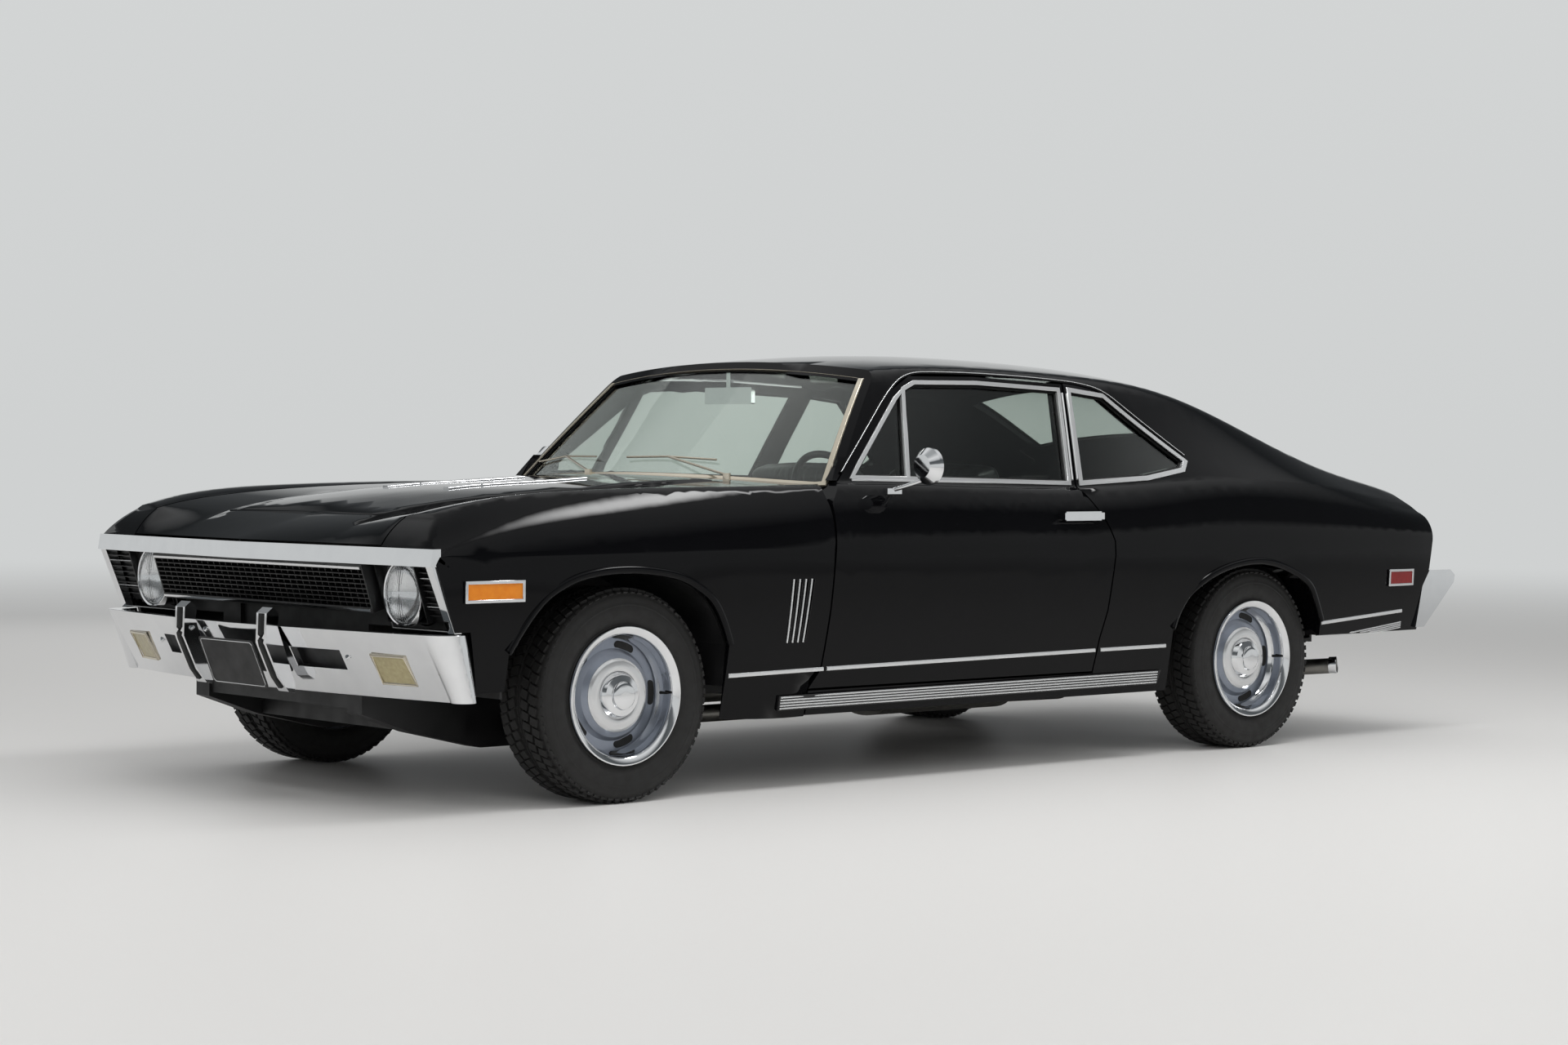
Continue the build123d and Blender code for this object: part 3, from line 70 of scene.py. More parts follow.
def linear(code):
    values = [int(code[i:i + 2], 16) / 255 for i in (0, 2, 4)]
    return [v / 12.92 if v <= 0.04045 else ((v + 0.055) / 1.055) ** 2.4 for v in values] + [1]


def emptyTree(owner):
    owner.use_nodes = True
    owner.node_tree.nodes.clear()
    return owner.node_tree


def addNode(tree, kind, sockets=None, **settings):
    node = tree.nodes.new(kind)
    for name, value in settings.items():
        setattr(node, name, value)
    for name, value in (sockets or {}).items():
        if isinstance(value, bpy.types.NodeSocket):
            tree.links.new(value, node.inputs[name])
        else:
            node.inputs[name].default_value = value
    return node


# a finish: two tones in patches, a roughness range, and the width and height of its grain, in mm
def newFinish(name, tones, patch, rough, grain, cells=False, **sockets):
    finish = bpy.data.materials.new(name)
    tree = emptyTree(finish)
    place = addNode(tree, "ShaderNodeTexCoord").outputs["Object"]
    cloud = addNode(tree, "ShaderNodeTexNoise", {"Vector": place, "Scale": 1000 / patch, "Detail": 3.0})
    # sockets 6 and 7 take the mix's two colours, 2 gives the result
    tone = addNode(tree, "ShaderNodeMix",
                   {"Factor": cloud.outputs["Fac"], 6: linear(tones[0]), 7: linear(tones[1])},
                   data_type="RGBA")
    wear = addNode(tree, "ShaderNodeMapRange",
                   {"Value": cloud.outputs["Fac"], "From Min": 0.3, "From Max": 0.7,
                    "To Min": rough[0], "To Max": rough[1]})
    shader = addNode(tree, "ShaderNodeBsdfPrincipled",
                     {"Base Color": tone.outputs[2], "Roughness": wear.outputs["Result"], **sockets})
    width, height = grain
    scale = 1000 / width
    if cells:
        value = addNode(tree, "ShaderNodeTexVoronoi", {"Vector": place, "Scale": scale}).outputs["Distance"]
    else:
        texture = addNode(tree, "ShaderNodeTexNoise", {"Vector": place, "Scale": scale, "Detail": 2.0})
        value = texture.outputs["Fac"]
    bump = addNode(tree, "ShaderNodeBump", {"Height": value, "Strength": 1.0, "Distance": height / 1000})
    tree.links.new(bump.outputs["Normal"], shader.inputs["Normal"])
    addNode(tree, "ShaderNodeOutputMaterial", {"Surface": shader.outputs["BSDF"]})
    return finish


# gloss black enamel: hard reflections, a faint orange peel
enamel = newFinish("black_enamel", ("050506", "08080a"), 180, (0.03, 0.06), (5, 0.0015),
                   **{"IOR": 1.45, "Specular IOR Level": 0.17})
# plated steel: mirror bright, softer where polished
chrome = newFinish("chrome_plate", ("dfe0e2", "ecedee"), 60, (0.04, 0.09), (9, 0.002), Metallic=1.0)
# anodised aluminium: white, soft sheen
anodised = newFinish("anodised_aluminium", ("d0d1d2", "dadbdb"), 150, (0.16, 0.20), (1.5, 0.0005),
                     Metallic=0.7)
# stainless steel warmed to champagne
stainless = newFinish("warm_stainless", ("cdc4b1", "dcd4c3"), 150, (0.12, 0.18), (2, 0.0005), Metallic=0.75)
# argent enamel: fine flake, satin, a little blue
argent = newFinish("argent_enamel", ("848b98", "959ba6"), 30, (0.28, 0.38), (0.6, 0.004), Metallic=0.75)
# satin black on steel: dull, a little dusty
satinBlack = newFinish("satin_black_enamel", ("0c0c0d", "161617"), 70, (0.42, 0.6), (2.5, 0.01))
# moulded plastic of grille and lamp panels: semi gloss
blackPlastic = newFinish("black_moulded_plastic", ("09090a", "101011"), 40, (0.32, 0.45), (1.2, 0.006))
# tyre rubber: dry, brownish where scuffed
rubber = newFinish("tyre_rubber", ("131313", "201f1e"), 25, (0.62, 0.8), (1.1, 0.03))
# sealing rubber round the glass: matt
sealRubber = newFinish("seal_rubber", ("0a0a0a", "131313"), 20, (0.6, 0.75), (1.5, 0.01))
# vinyl: leather grain of small cells, low sheen
vinyl = newFinish("black_vinyl", ("101011", "19191a"), 60, (0.38, 0.52), (2.2, 0.12), cells=True)
# cut pile carpet: light is lost in the tufts
carpet = newFinish("black_carpet", ("0b0b0c", "1b1b1c"), 8, (0.9, 1.0), (3, 0.6))
# painted cast iron of the running gear: rough, dull
castIron = newFinish("painted_cast_iron", ("1d1d1e", "2c2b2a"), 35, (0.5, 0.75), (4, 0.12))
# aluminised exhaust tube: dull silver
aluminised = newFinish("aluminised_steel", ("76746f", "918f8a"), 30, (0.32, 0.5), (3, 0.02), Metallic=1.0)
# galvanised tank sheet: grey with its spangle
galvanised = newFinish("galvanised_sheet", ("7d8184", "999da0"), 12, (0.35, 0.55), (6, 0.01), Metallic=1.0)
# silvered glass: a clean mirror behind the lens
silvered = newFinish("silvered_glass", ("d9dadc", "e6e7e8"), 30, (0.06, 0.12), (8, 0.004), Metallic=1.0)
# window glass: clear, faintly green
glass = newFinish("tinted_glass", ("dfe8e2", "e6ede8"), 300, (0.0, 0.01), (400, 0.001),
                  **{"Transmission Weight": 1.0, "IOR": 1.45, "Specular IOR Level": 0.2})
# lamp glass: clear, its flutes are in the shape
lampGlass = newFinish("lamp_glass", ("f2f4f4", "fafafa"), 40, (0.0, 0.03), (30, 0.002),
                      **{"Transmission Weight": 1.0, "IOR": 1.5})
# acrylic lenses: deep colour that lets some light through
amberLens = newFinish("amber_acrylic", ("e07a08", "f09418"), 20, (0.12, 0.2), (6, 0.05),
                      **{"Transmission Weight": 0.25, "IOR": 1.49})
redLens = newFinish("red_acrylic", ("7c0709", "93100f"), 20, (0.1, 0.18), (6, 0.05),
                    **{"Transmission Weight": 0.25, "IOR": 1.49})
strawLens = newFinish("straw_acrylic", ("a3956a", "cfc499"), 12, (0.08, 0.16), (5, 0.08),
                      **{"Transmission Weight": 0.2, "IOR": 1.49})

# finishes of the carried-over nodes; painted steel isn't listed
carriedOver = (
    (chrome, "header headlamps front_bumper rear_bumper overriders inner_mirror"),
    (chrome, "door_trim_left door_trim_right"),
    (glass, "windshield rear_window quarter_glass door_glass_left door_glass_right"),
    (vinyl, "dashboard front_seats rear_seat parcel_shelf"),
    (satinBlack, "rocker_mouldings firewall radiator front_subframe wheel_houses"),
    (castIron, "engine rear_axle leaf_springs knuckle_left knuckle_right"),
    (blackPlastic, "grille headlamp_bezels steering_wheel"),
    (argent, "wheel_front_left wheel_front_right wheel_rear_left wheel_rear_right"),
    (rubber, "tyre_front_left tyre_front_right tyre_rear_left tyre_rear_right"),
    (amberLens, "side_markers"), (redLens, "tail_lamps"), (strawLens, "park_lamps"), (stainless, "wipers"),
    (carpet, "floor"), (galvanised, "fuel_tank"), (aluminised, "exhaust"))
nodeFinishes = {name: finish for finish, names in carriedOver for name in names.split()}
for name, node in nodes.items():
    node.data.materials.clear()
    node.data.materials.append(nodeFinishes.get(name, enamel))
print("finishes made")


def evenNormals(piece):
    even = piece.modifiers.new("even_normals", "WEIGHTED_NORMAL")
    even.keep_sharp = True


def easeEdges(piece, width, angle=35, segments=2):
    ease = piece.modifiers.new("eased_edges", "BEVEL")
    ease.width, ease.segments, ease.limit_method = width, segments, "ANGLE"
    ease.angle_limit, ease.harden_normals = math.radians(angle), False


def addWall(piece, thickness, offset):
    wall = piece.modifiers.new("wall", "SOLIDIFY")
    wall.thickness, wall.offset = thickness, offset


# a piece, smooth but for edges sharper than so many degrees, riding on a body
def newPiece(name, shape, finish, body, smooth=35, weighted=False):
    mesh = bpy.data.meshes.new(name)
    shape.to_mesh(mesh)
    shape.free()
    for polygon in mesh.polygons:
        polygon.use_smooth = True
    mesh.set_sharp_from_angle(angle=math.radians(smooth))
    mesh.materials.append(finish)
    piece = bpy.data.objects.new(name, mesh)
    scene.collection.objects.link(piece)
    if weighted:
        evenNormals(piece)
    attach(piece, body)
    return piece


# a node's mesh is loose triangles, so its copy is merged
def copyOf(node):
    shape = bmesh.new()
    shape.from_mesh(nodes[node].data)
    bmesh.ops.remove_doubles(shape, verts=shape.verts, dist=0.00001)
    return shape


# evens out the shading of a skin: each corner's normal becomes the mean of those near it that face much the
# same way, the large and the near ones counting most
def calmNormals(mesh, radius, limit):
    area = [0.0] * len(mesh.vertices)
    for polygon in mesh.polygons:
        for corner in polygon.vertices:
            area[corner] += polygon.area
    spots, spotOf, order = {}, [], []
    for loop, normal in zip(mesh.loops, mesh.corner_normals):
        facing = normal.vector
        key = (loop.vertex_index, round(facing.x, 2), round(facing.y, 2), round(facing.z, 2))
        if key not in spots:
            spots[key] = len(order)
            place = mesh.vertices[loop.vertex_index].co.copy()
            order.append((place, facing.copy(), area[loop.vertex_index]))
        spotOf.append(spots[key])
    tree = KDTree(len(order))
    for number, (place, facing, weight) in enumerate(order):
        tree.insert(place, number)
    tree.balance()
    calm = []
    for place, facing, weight in order:
        mean = facing * (weight + 1e-9)   # its own normal holds where nothing is near
        for _, number, distance in tree.find_range(place, radius):
            other = order[number][1]
            if other.dot(facing) > limit:
                mean += other * (order[number][2] * (1 - distance / radius) ** 2)
        calm.append(mean.normalized())
    mesh.normals_split_custom_set([calm[number] for number in spotOf])


# body panels and the bodies they ride on; the broad ones are evened over a radius
panels = {"hood": "hood", "deck_lid": "deck_lid", "door_left": "door_left", "door_right": "door_right",
          "cowl": "body", "fender_left": "body", "fender_right": "body", "roof": "body", "rockers": "body",
          "quarter_left": "body", "quarter_right": "body", "tail_panel": "body"}
calmed = {"fender_left": 0.045, "fender_right": 0.045, "hood": 0.04, "quarter_left": 0.04,
          "quarter_right": 0.04, "roof": 0.04, "cowl": 0.03}
creases = {"sharp": 24, "alike": 16}   # degrees: an edge that shows, and normals that are evened together
for node, body in panels.items():
    skin = newPiece(node + "_skin", copyOf(node), enamel, body, smooth=creases["sharp"],
                    weighted=node not in calmed)
    if node in calmed:
        calmNormals(skin.data, calmed[node], math.cos(math.radians(creases["alike"])))
    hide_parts(node)
print("panels made")

# where the skins lie, for trim laid on them
skinShape = bmesh.new()
for node in [*panels, "front_bumper", "rear_bumper", "header"]:
    skinShape.from_mesh(nodes[node].data)
skinTree = BVHTree.FromBMesh(skinShape)
skinShape.free()

# rays start this far out; one that misses the flank or meets something far inboard takes the nearest point
rays = {"side": 1.3, "top": 1.8, "front": -3.0, "flank": 0.88, "inboard": 0.55}


def onSide(x, z, side, lift=0.0):
    spot = skinTree.ray_cast(Vector((x, side * rays["side"], z)), Vector((0, -side, 0)))[0]
    if spot is None or abs(spot.y) < rays["inboard"]:
        spot = skinTree.find_nearest(Vector((x, side * rays["flank"], z)))[0]
    return spot + Vector((0, side * lift, 0))


def onTop(x, y, lift=0.0):
    return skinTree.ray_cast(Vector((x, y, rays["top"])), Vector((0, 0, -1)))[0] + Vector((0, 0, lift))


def onFront(tree, y, z):
    return tree.ray_cast(Vector((rays["front"], y, z)), Vector((1, 0, 0)))[0]


def between(start, end, count):
    return [tuple(a + (b - a) * i / (count - 1) for a, b in zip(start, end)) for i in range(count)]


def cornersIn(geom):
    return [item for item in geom if isinstance(item, bmesh.types.BMVert)]


# a strip with rounded edges laid along points; its width stands up unless it is tilted
def strip(name, points, width, depth, finish, body, closed=False, tilt=0.0, bent=False):
    curve = bpy.data.curves.new(name, "CURVE")
    curve.dimensions, curve.twist_mode = "3D", "Z_UP"
    curve.bevel_depth, curve.bevel_resolution = depth / 2, 2
    curve.extrude, curve.use_fill_caps = max(0.0, (width - depth) / 2), True
    line = curve.splines.new("NURBS" if bent else "POLY")
    line.points.add(len(points) - 1)
    for point, place in zip(line.points, points):
        point.co, point.tilt = (*place, 1), math.radians(tilt)
    line.use_cyclic_u = closed
    if bent:
        line.order_u, line.use_endpoint_u, line.resolution_u = 3, True, 5
    holder = bpy.data.objects.new(name, curve)
    shape = bmesh.new()
    shape.from_mesh(bpy.data.meshes.new_from_object(holder))
    bpy.data.objects.remove(holder)
    bpy.data.curves.remove(curve)
    bmesh.ops.remove_doubles(shape, verts=shape.verts, dist=0.000005)
    bmesh.ops.recalc_face_normals(shape, faces=shape.faces)
    return newPiece(name, shape, finish, body, smooth=50)


# a turned form: distance along its axis and radius, in mm, spun about the axis
def turned(outline, centre, outward, steps):
    shape = bmesh.new()
    row = [shape.verts.new((r / 1000, 0, out / 1000)) for out, r in outline]
    edges = [shape.edges.new(pair) for pair in zip(row, row[1:])]
    bmesh.ops.spin(shape, geom=row + edges, cent=(0, 0, 0), axis=(0, 0, 1), angle=2 * math.pi, steps=steps,
                   use_merge=True)
    bmesh.ops.remove_doubles(shape, verts=shape.verts, dist=0.000002)
    bmesh.ops.recalc_face_normals(shape, faces=shape.faces)
    turn = Vector((0, 0, 1)).rotation_difference(Vector(outward)).to_matrix().to_4x4()
    bmesh.ops.transform(shape, matrix=Matrix.Translation(centre) @ turn, verts=shape.verts)
    return shape


def addBlock(shape, centre, size, turn=Matrix.Identity(4)):
    place = Matrix.Translation(centre) @ turn @ Matrix.Diagonal((*size, 1))
    bmesh.ops.create_cube(shape, size=1.0, matrix=place)


# a frame round a pane: a band outside its rim, or inside where its width is negative, from foot to top
def frameRound(name, node, facing, band, finish, body, ease=0.0012, keep=None):
    width, foot, top = band
    shape = copyOf(node)
    look = Vector(facing).normalized()
    others = [face for face in shape.faces
              if face.normal.dot(look) < 0.5 or (keep and not keep(face.calc_center_median()))]
    bmesh.ops.delete(shape, geom=others, context="FACES")
    rim = [edge for edge in shape.edges if edge.is_boundary]
    pushes = {}
    for edge in rim:
        loop = edge.link_loops[0]
        run = (loop.link_loop_next.vert.co - loop.vert.co).normalized()
        for corner in edge.verts:
            pushes.setdefault(corner, []).append(run.cross(loop.face.normal).normalized())
    moves = {}
    for corner, pair in pushes.items():
        middle = sum(pair, Vector()).normalized()
        moves[tuple(round(c, 6) for c in corner.co)] = middle * (width / max(0.5, middle.dot(pair[0])))
    grown = bmesh.ops.extrude_edge_only(shape, edges=rim)["geom"]
    ring = {item for item in grown if isinstance(item, bmesh.types.BMFace)}
    for corner in cornersIn(grown):
        corner.co += moves[tuple(round(c, 6) for c in corner.co)]
    bmesh.ops.delete(shape, geom=[f for f in shape.faces if f not in ring], context="FACES")
    for face in shape.faces:
        if face.normal.dot(look) < 0:
            face.normal_flip()
    raised = cornersIn(bmesh.ops.extrude_face_region(shape, geom=shape.faces[:])["geom"])
    bmesh.ops.translate(shape, vec=look * foot, verts=shape.verts)
    bmesh.ops.translate(shape, vec=look * (top - foot), verts=raised)
    bmesh.ops.recalc_face_normals(shape, faces=shape.faces)
    piece = newPiece(name, shape, finish, body, smooth=40)
    if ease:
        easeEdges(piece, ease, angle=50)


# wheels: plated trim ring and cap over the enamelled disc, tyre, valve; outlines in mm from the middle
wheel = {"height": 0.316, "track": 0.756, "steps": 96, "capSteps": 64, "valveSteps": 12, "valveAt": 0.166}
ringOutline = [(106.1, 204.8), (108.5, 204.4), (109.6, 202.6), (108.6, 199), (103.5, 189), (99.2, 182),
               (96, 180.2), (80, 179), (60, 178.3), (56, 176.8), (46, 171), (39.2, 166.2)]
capOutline = [(66.8, 71), (69.5, 70.6), (72, 68.8), (83, 63), (86.5, 60), (90.4, 46), (91.5, 42.5), (94, 41),
              (98.5, 39.5), (100.6, 36.5), (101.4, 31), (103.2, 24), (103.8, 12), (103.9, 0)]
dishOutline = [(62, 70), (70.2, 71), (71.4, 73), (71.4, 88), (70.2, 91), (70, 98), (68.4, 101.5), (63, 108),
               (55, 108)]
tyreOutline = [(91, 179), (93, 189), (97.5, 203), (99, 208), (97.6, 210), (101.5, 217), (104.6, 226),
               (105.6, 228), (105.6, 231), (106.3, 233), (107.3, 244), (107.5, 252), (107, 262), (106.4, 264),
               (106.9, 266), (106.7, 269), (105.4, 271), (104.6, 280), (103, 288), (100.4, 294), (98.6, 296),
               (97.4, 300), (93.5, 304.2), (88, 306.6), (84, 307.6), (51, 308), (49.5, 303), (47.5, 303),
               (46, 308), (12, 308), (10, 302.5), (4, 302.5), (2, 308)]
valveOutline = [(96, 0), (96, 2.5), (84, 3.6), (70, 4.2), (60, 5)]
# tread blocks in four rows, slanted, and smaller lugs round both shoulders
tread = {"rows": (-0.068, -0.030, 0.030, 0.068), "outerRow": 0.05, "steps": 62, "radius": 0.3115,
         "slant": 18, "block": (0.0245, 0.031, 0.0084)}
lugs = {"steps": 72, "out": 0.0955, "radius": 0.3015, "lean": 0.9, "block": (0.016, 0.012, 0.006)}
# ventilation slots of the disc: dark ovals that follow its circle, painted shade for the dark seen through
# the slots
slotShade = {"count": 5, "radius": 0.0112, "run": 0.0255, "circle": 0.149, "out": 0.0352, "thick": 0.0016}


def slotShadeOvals(centre, side):
    whole = bmesh.new()
    for number in range(slotShade["count"]):
        oval = bmesh.new()
        bmesh.ops.create_circle(oval, cap_ends=True, radius=slotShade["radius"], segments=20)
        for corner in oval.verts:
            corner.co.x += slotShade["run"] * (1 if corner.co.x > 0.0001 else -1 if corner.co.x < -0.0001 else 0)
        longEdges = [e for e in oval.edges if e.calc_length() > 0.02]
        bmesh.ops.subdivide_edges(oval, edges=longEdges, cuts=5)
        for corner in oval.verts:
            corner.co.y -= corner.co.x ** 2 / (2 * slotShade["circle"])
        raised = cornersIn(bmesh.ops.extrude_face_region(oval, geom=oval.faces[:])["geom"])
        bmesh.ops.translate(oval, vec=(0, 0, slotShade["thick"]), verts=raised)
        bmesh.ops.translate(oval, vec=(0, slotShade["circle"], slotShade["out"]), verts=oval.verts)
        turn = Matrix.Rotation(2 * math.pi * number / slotShade["count"] - math.pi / 2, 3, "Z")
        bmesh.ops.rotate(oval, cent=(0, 0, 0), matrix=turn, verts=oval.verts)
        mesh = bpy.data.meshes.new("slotShade")
        oval.to_mesh(mesh)
        oval.free()
        whole.from_mesh(mesh)
        bpy.data.meshes.remove(mesh)
    bmesh.ops.recalc_face_normals(whole, faces=whole.faces)
    outward = Matrix.Rotation(math.radians(-90 * side), 4, "X")
    bmesh.ops.transform(whole, matrix=Matrix.Translation(centre) @ outward, verts=whole.verts)
    return whole


def tyreShape(centre, out):
    shape = turned(tyreOutline + [(-a, r) for a, r in reversed(tyreOutline)], centre, out, wheel["steps"])
    for row in tread["rows"]:
        shift = 0.5 if abs(row) > tread["outerRow"] else 0.0
        for step in range(tread["steps"]):
            spin = Matrix.Rotation(2 * math.pi * (step + shift) / tread["steps"], 4, "Y")
            place = Matrix.Translation((0, row, tread["radius"]))
            slant = Matrix.Rotation(math.radians(math.copysign(tread["slant"], row)), 4, "Z")
            addBlock(shape, centre, tread["block"], spin @ place @ slant)
    for step in range(lugs["steps"]):
        for flank in (-1, 1):
            spin = Matrix.Rotation(2 * math.pi * step / lugs["steps"], 4, "Y")
            place = Matrix.Translation((0, flank * lugs["out"], lugs["radius"]))
            lean = Matrix.Rotation(flank * lugs["lean"], 4, "X")
            addBlock(shape, centre, lugs["block"], spin @ place @ lean)
    return shape


for end, station in axles.items():
    for side, sign in sides.items():
        body = f"wheel_{end}_{side}"
        centre, out = (station, sign * wheel["track"], wheel["height"]), (0, sign, 0)
        ring = turned(ringOutline, centre, out, wheel["steps"])
        newPiece(f"trim_ring_{end}_{side}", ring, chrome, body, smooth=50)
        cap = turned(capOutline, centre, out, wheel["capSteps"])
        newPiece(f"centre_cap_{end}_{side}", cap, chrome, body, smooth=28)
        # the raised ring round the cap is shaped; its silver brighter than the disc is painted highlight
        litDish = turned(dishOutline, centre, out, wheel["steps"])
        newPiece(f"wheel_dish_lit_{end}_{side}", litDish, anodised, body, smooth=40)
        # dark ovals on the disc: painted shade in the slots
        newPiece(f"wheel_slot_shade_{end}_{side}", slotShadeOvals(centre, sign), sealRubber, body)
        tyre = newPiece(f"tyre_tread_{end}_{side}", tyreShape(centre, out), rubber, body, smooth=30)
        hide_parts(f"tyre_{end}_{side}")
        valveAt = (station + wheel["valveAt"], centre[1], wheel["height"])
        valve = turned(valveOutline, valveAt, out, wheel["valveSteps"])
        newPiece(f"valve_{end}_{side}", valve, sealRubber, body)
print("wheels made")

# headlamps: plated ring, silvered bowl and fluted glass, in mm; the flutes fade at the rim
headlamp = {"x": front - 0.668, "y": 0.6905, "z": 0.6274, "fluted": 0.084, "pitch": 0.0095, "deep": 0.0012,
            "shallow": 0.0006, "middle": 0.012, "fade": 6, "wall": 0.003,
            "ring": [(-3, 88.5), (0, 89.2), (2.5, 92), (2, 94.8), (-4, 95.5), (-22, 95.5)],
            "bowl": [(-4, 88), (-14, 80), (-30, 62), (-42, 36), (-48, 14), (-49, 0)],
            "glass": [(-5, 88), (1, 84), (5.5, 75), (8.6, 62), (11, 46), (13, 30), (14.4, 14), (15, 0)]}
# the black panel round a lamp: bright lines at three sides, two slats outboard
lampPanel = {"inner": 0.5915, "outer": 0.8835, "top": 0.089, "foot": -0.1035, "lean": 0.3061, "sunk": 0.0035,
             "raised": 0.0005, "line": (0.005, 0.004), "slats": (0.045, -0.035), "slatFrom": 0.795,
             "slatSunk": 0.001, "slat": (0.0035, 0.0035)}
nose = (-1, 0, 0)
for side, sign in sides.items():
    centre = (headlamp["x"], sign * headlamp["y"], headlamp["z"])
    ring = newPiece(f"lamp_ring_{side}", turned(headlamp["ring"], centre, nose, 72), chrome, "body")
    newPiece(f"lamp_bowl_{side}", turned(headlamp["bowl"], centre, nose, 48), silvered, "body")
    shape = turned(headlamp["glass"], centre, nose, 96)
    bmesh.ops.subdivide_edges(shape, edges=shape.edges, cuts=1, use_grid_fill=True)
    for corner in shape.verts:
        across, up = corner.co.y - centre[1], corner.co.z - centre[2]
        inside = max(0.0, 1 - (across * across + up * up) / headlamp["fluted"] ** 2)
        depth = headlamp["deep"] if abs(up) > headlamp["middle"] else headlamp["shallow"]
        wave = abs(math.sin(across * math.pi / headlamp["pitch"]))
        corner.co.x += depth * wave * min(1.0, inside * headlamp["fade"])
    addWall(newPiece(f"lamp_glass_{side}", shape, lampGlass, "body", smooth=60), headlamp["wall"], -1.0)
    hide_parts("headlamps")
    corners = [(lampPanel["inner"], lampPanel["top"]), (lampPanel["outer"], lampPanel["top"]),
               (lampPanel["outer"], lampPanel["foot"]), (lampPanel["inner"], lampPanel["foot"])]
    outline = [(centre[0] + lampPanel["sunk"] - up * lampPanel["lean"], sign * y,
                centre[2] + up + lampPanel["raised"]) for y, up in corners]
    strip(f"lamp_panel_line_{side}", outline[:2], *lampPanel["line"], anodised, "body", tilt=90)
    strip(f"lamp_panel_foot_{side}", outline[2:], *lampPanel["line"], anodised, "body", tilt=90)
    strip(f"lamp_panel_side_{side}", [outline[3], outline[0]], *lampPanel["line"], anodised, "body")
    for number, up in enumerate(lampPanel["slats"]):
        x = centre[0] + lampPanel["slatSunk"] - up * lampPanel["lean"]
        points = [(x, sign * y, centre[2] + up) for y in (lampPanel["slatFrom"], lampPanel["outer"])]
        strip(f"lamp_slat_{side}_{number}", points, *lampPanel["slat"], anodised, "body")
print("lamps made")

# plated bars: eased copies of the pressings; widths of the rolled edges
barEdges = {"front_bumper": 0.006, "rear_bumper": 0.004, "overriders": 0.008}
for node, width in barEdges.items():
    shape = copyOf(node)
    bmesh.ops.dissolve_limit(shape, angle_limit=math.radians(1.0), verts=shape.verts, edges=shape.edges)
    bar = newPiece(node + "_bar", shape, chrome, "body", smooth=50)
    easeEdges(bar, width, angle=30, segments=3)
    evenNormals(bar)
    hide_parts(node)

# rubber faces of the guards, laid down their fronts
guard = {"y": 0.228, "foot": 0.338, "pitch": 0.0155, "steps": 15, "proud": 0.0005, "size": (0.024, 0.009)}
guardShape = copyOf("overriders")
guardTree = BVHTree.FromBMesh(guardShape)
guardShape.free()
for side, sign in sides.items():
    heights = [guard["foot"] + i * guard["pitch"] for i in range(guard["steps"])]
    met = [onFront(guardTree, sign * guard["y"], z) for z in heights]
    points = [(hit.x - guard["proud"], hit.y, hit.z) for hit in met if hit]
    strip(f"guard_rubber_{side}", points, *guard["size"], sealRubber, "body", tilt=90)

# bolts of the front bar, outline in mm, and dark sheets behind its slots, painted shade in the openings
bolt = {"places": ((0.515, 0.4425), (0.160, 0.493)), "way": (-1, 0, 0.45), "steps": 20,
        "outline": [(-4, 10.5), (0.5, 10.5), (2.8, 8.5), (3.6, 4), (3.8, 0)]}
bumperSlotShade = {"x": front - 0.712, "y": 0.375, "z": 0.430, "size": (0.003, 0.232, 0.066), "lean": -27}
for side, sign in sides.items():
    for number, (y, z) in enumerate(bolt["places"]):
        place = (onFront(skinTree, sign * y, z).x, sign * y, z)
        shape = turned(bolt["outline"], place, bolt["way"], bolt["steps"])
        newPiece(f"bumper_bolt_{side}_{number}", shape, chrome, "body")
    # a thin dark sheet behind the slot: painted shade
    back = bmesh.new()
    addBlock(back, (bumperSlotShade["x"], sign * bumperSlotShade["y"], bumperSlotShade["z"]), bumperSlotShade["size"],
             Matrix.Rotation(math.radians(bumperSlotShade["lean"]), 4, "Y"))
    newPiece(f"bumper_slot_shade_{side}", back, satinBlack, "body")

# park lamps: a ribbed lens and a bright frame; corners are y, z and the way outwards
parkLamp = {"corners": ((0.6255, 0.4515, -1, 1), (0.7565, 0.4515, 1, 1), (0.7565, 0.3705, 1, -1),
                        (0.6255, 0.3705, -1, -1)),
            "margin": 0.012, "tip": 0.004, "proud": 0.002, "frame": (0.012, 0.008), "inset": 0.006,
            "pitch": 0.0085, "deep": 0.0012, "wall": 0.012}
for side, sign in sides.items():
    line = []
    for y, z, across, up in parkLamp["corners"]:
        outer = y + across * parkLamp["margin"], z + up * parkLamp["margin"]
        x = onFront(skinTree, sign * outer[0], outer[1]).x
        line.append(Vector((x + up * parkLamp["tip"], sign * y, z)))
    strip(f"park_lamp_frame_{side}", [point - Vector((parkLamp["proud"], 0, 0)) for point in line],
          *parkLamp["frame"], stainless, "body", closed=True)
    shape = bmesh.new()
    shape.faces.new([shape.verts.new(point + Vector((parkLamp["inset"], 0, 0))) for point in line])
    bmesh.ops.subdivide_edges(shape, edges=shape.edges[:], cuts=27, use_grid_fill=True)
    for corner in shape.verts:
        corner.co.x -= parkLamp["deep"] * abs(math.sin(corner.co.y * math.pi / parkLamp["pitch"]))
    parkLens = newPiece(f"park_lens_{side}", shape, strawLens, "body", smooth=60)
    addWall(parkLens, parkLamp["wall"], 0.0)
    if sign < 0:
        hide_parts("park_lamps")

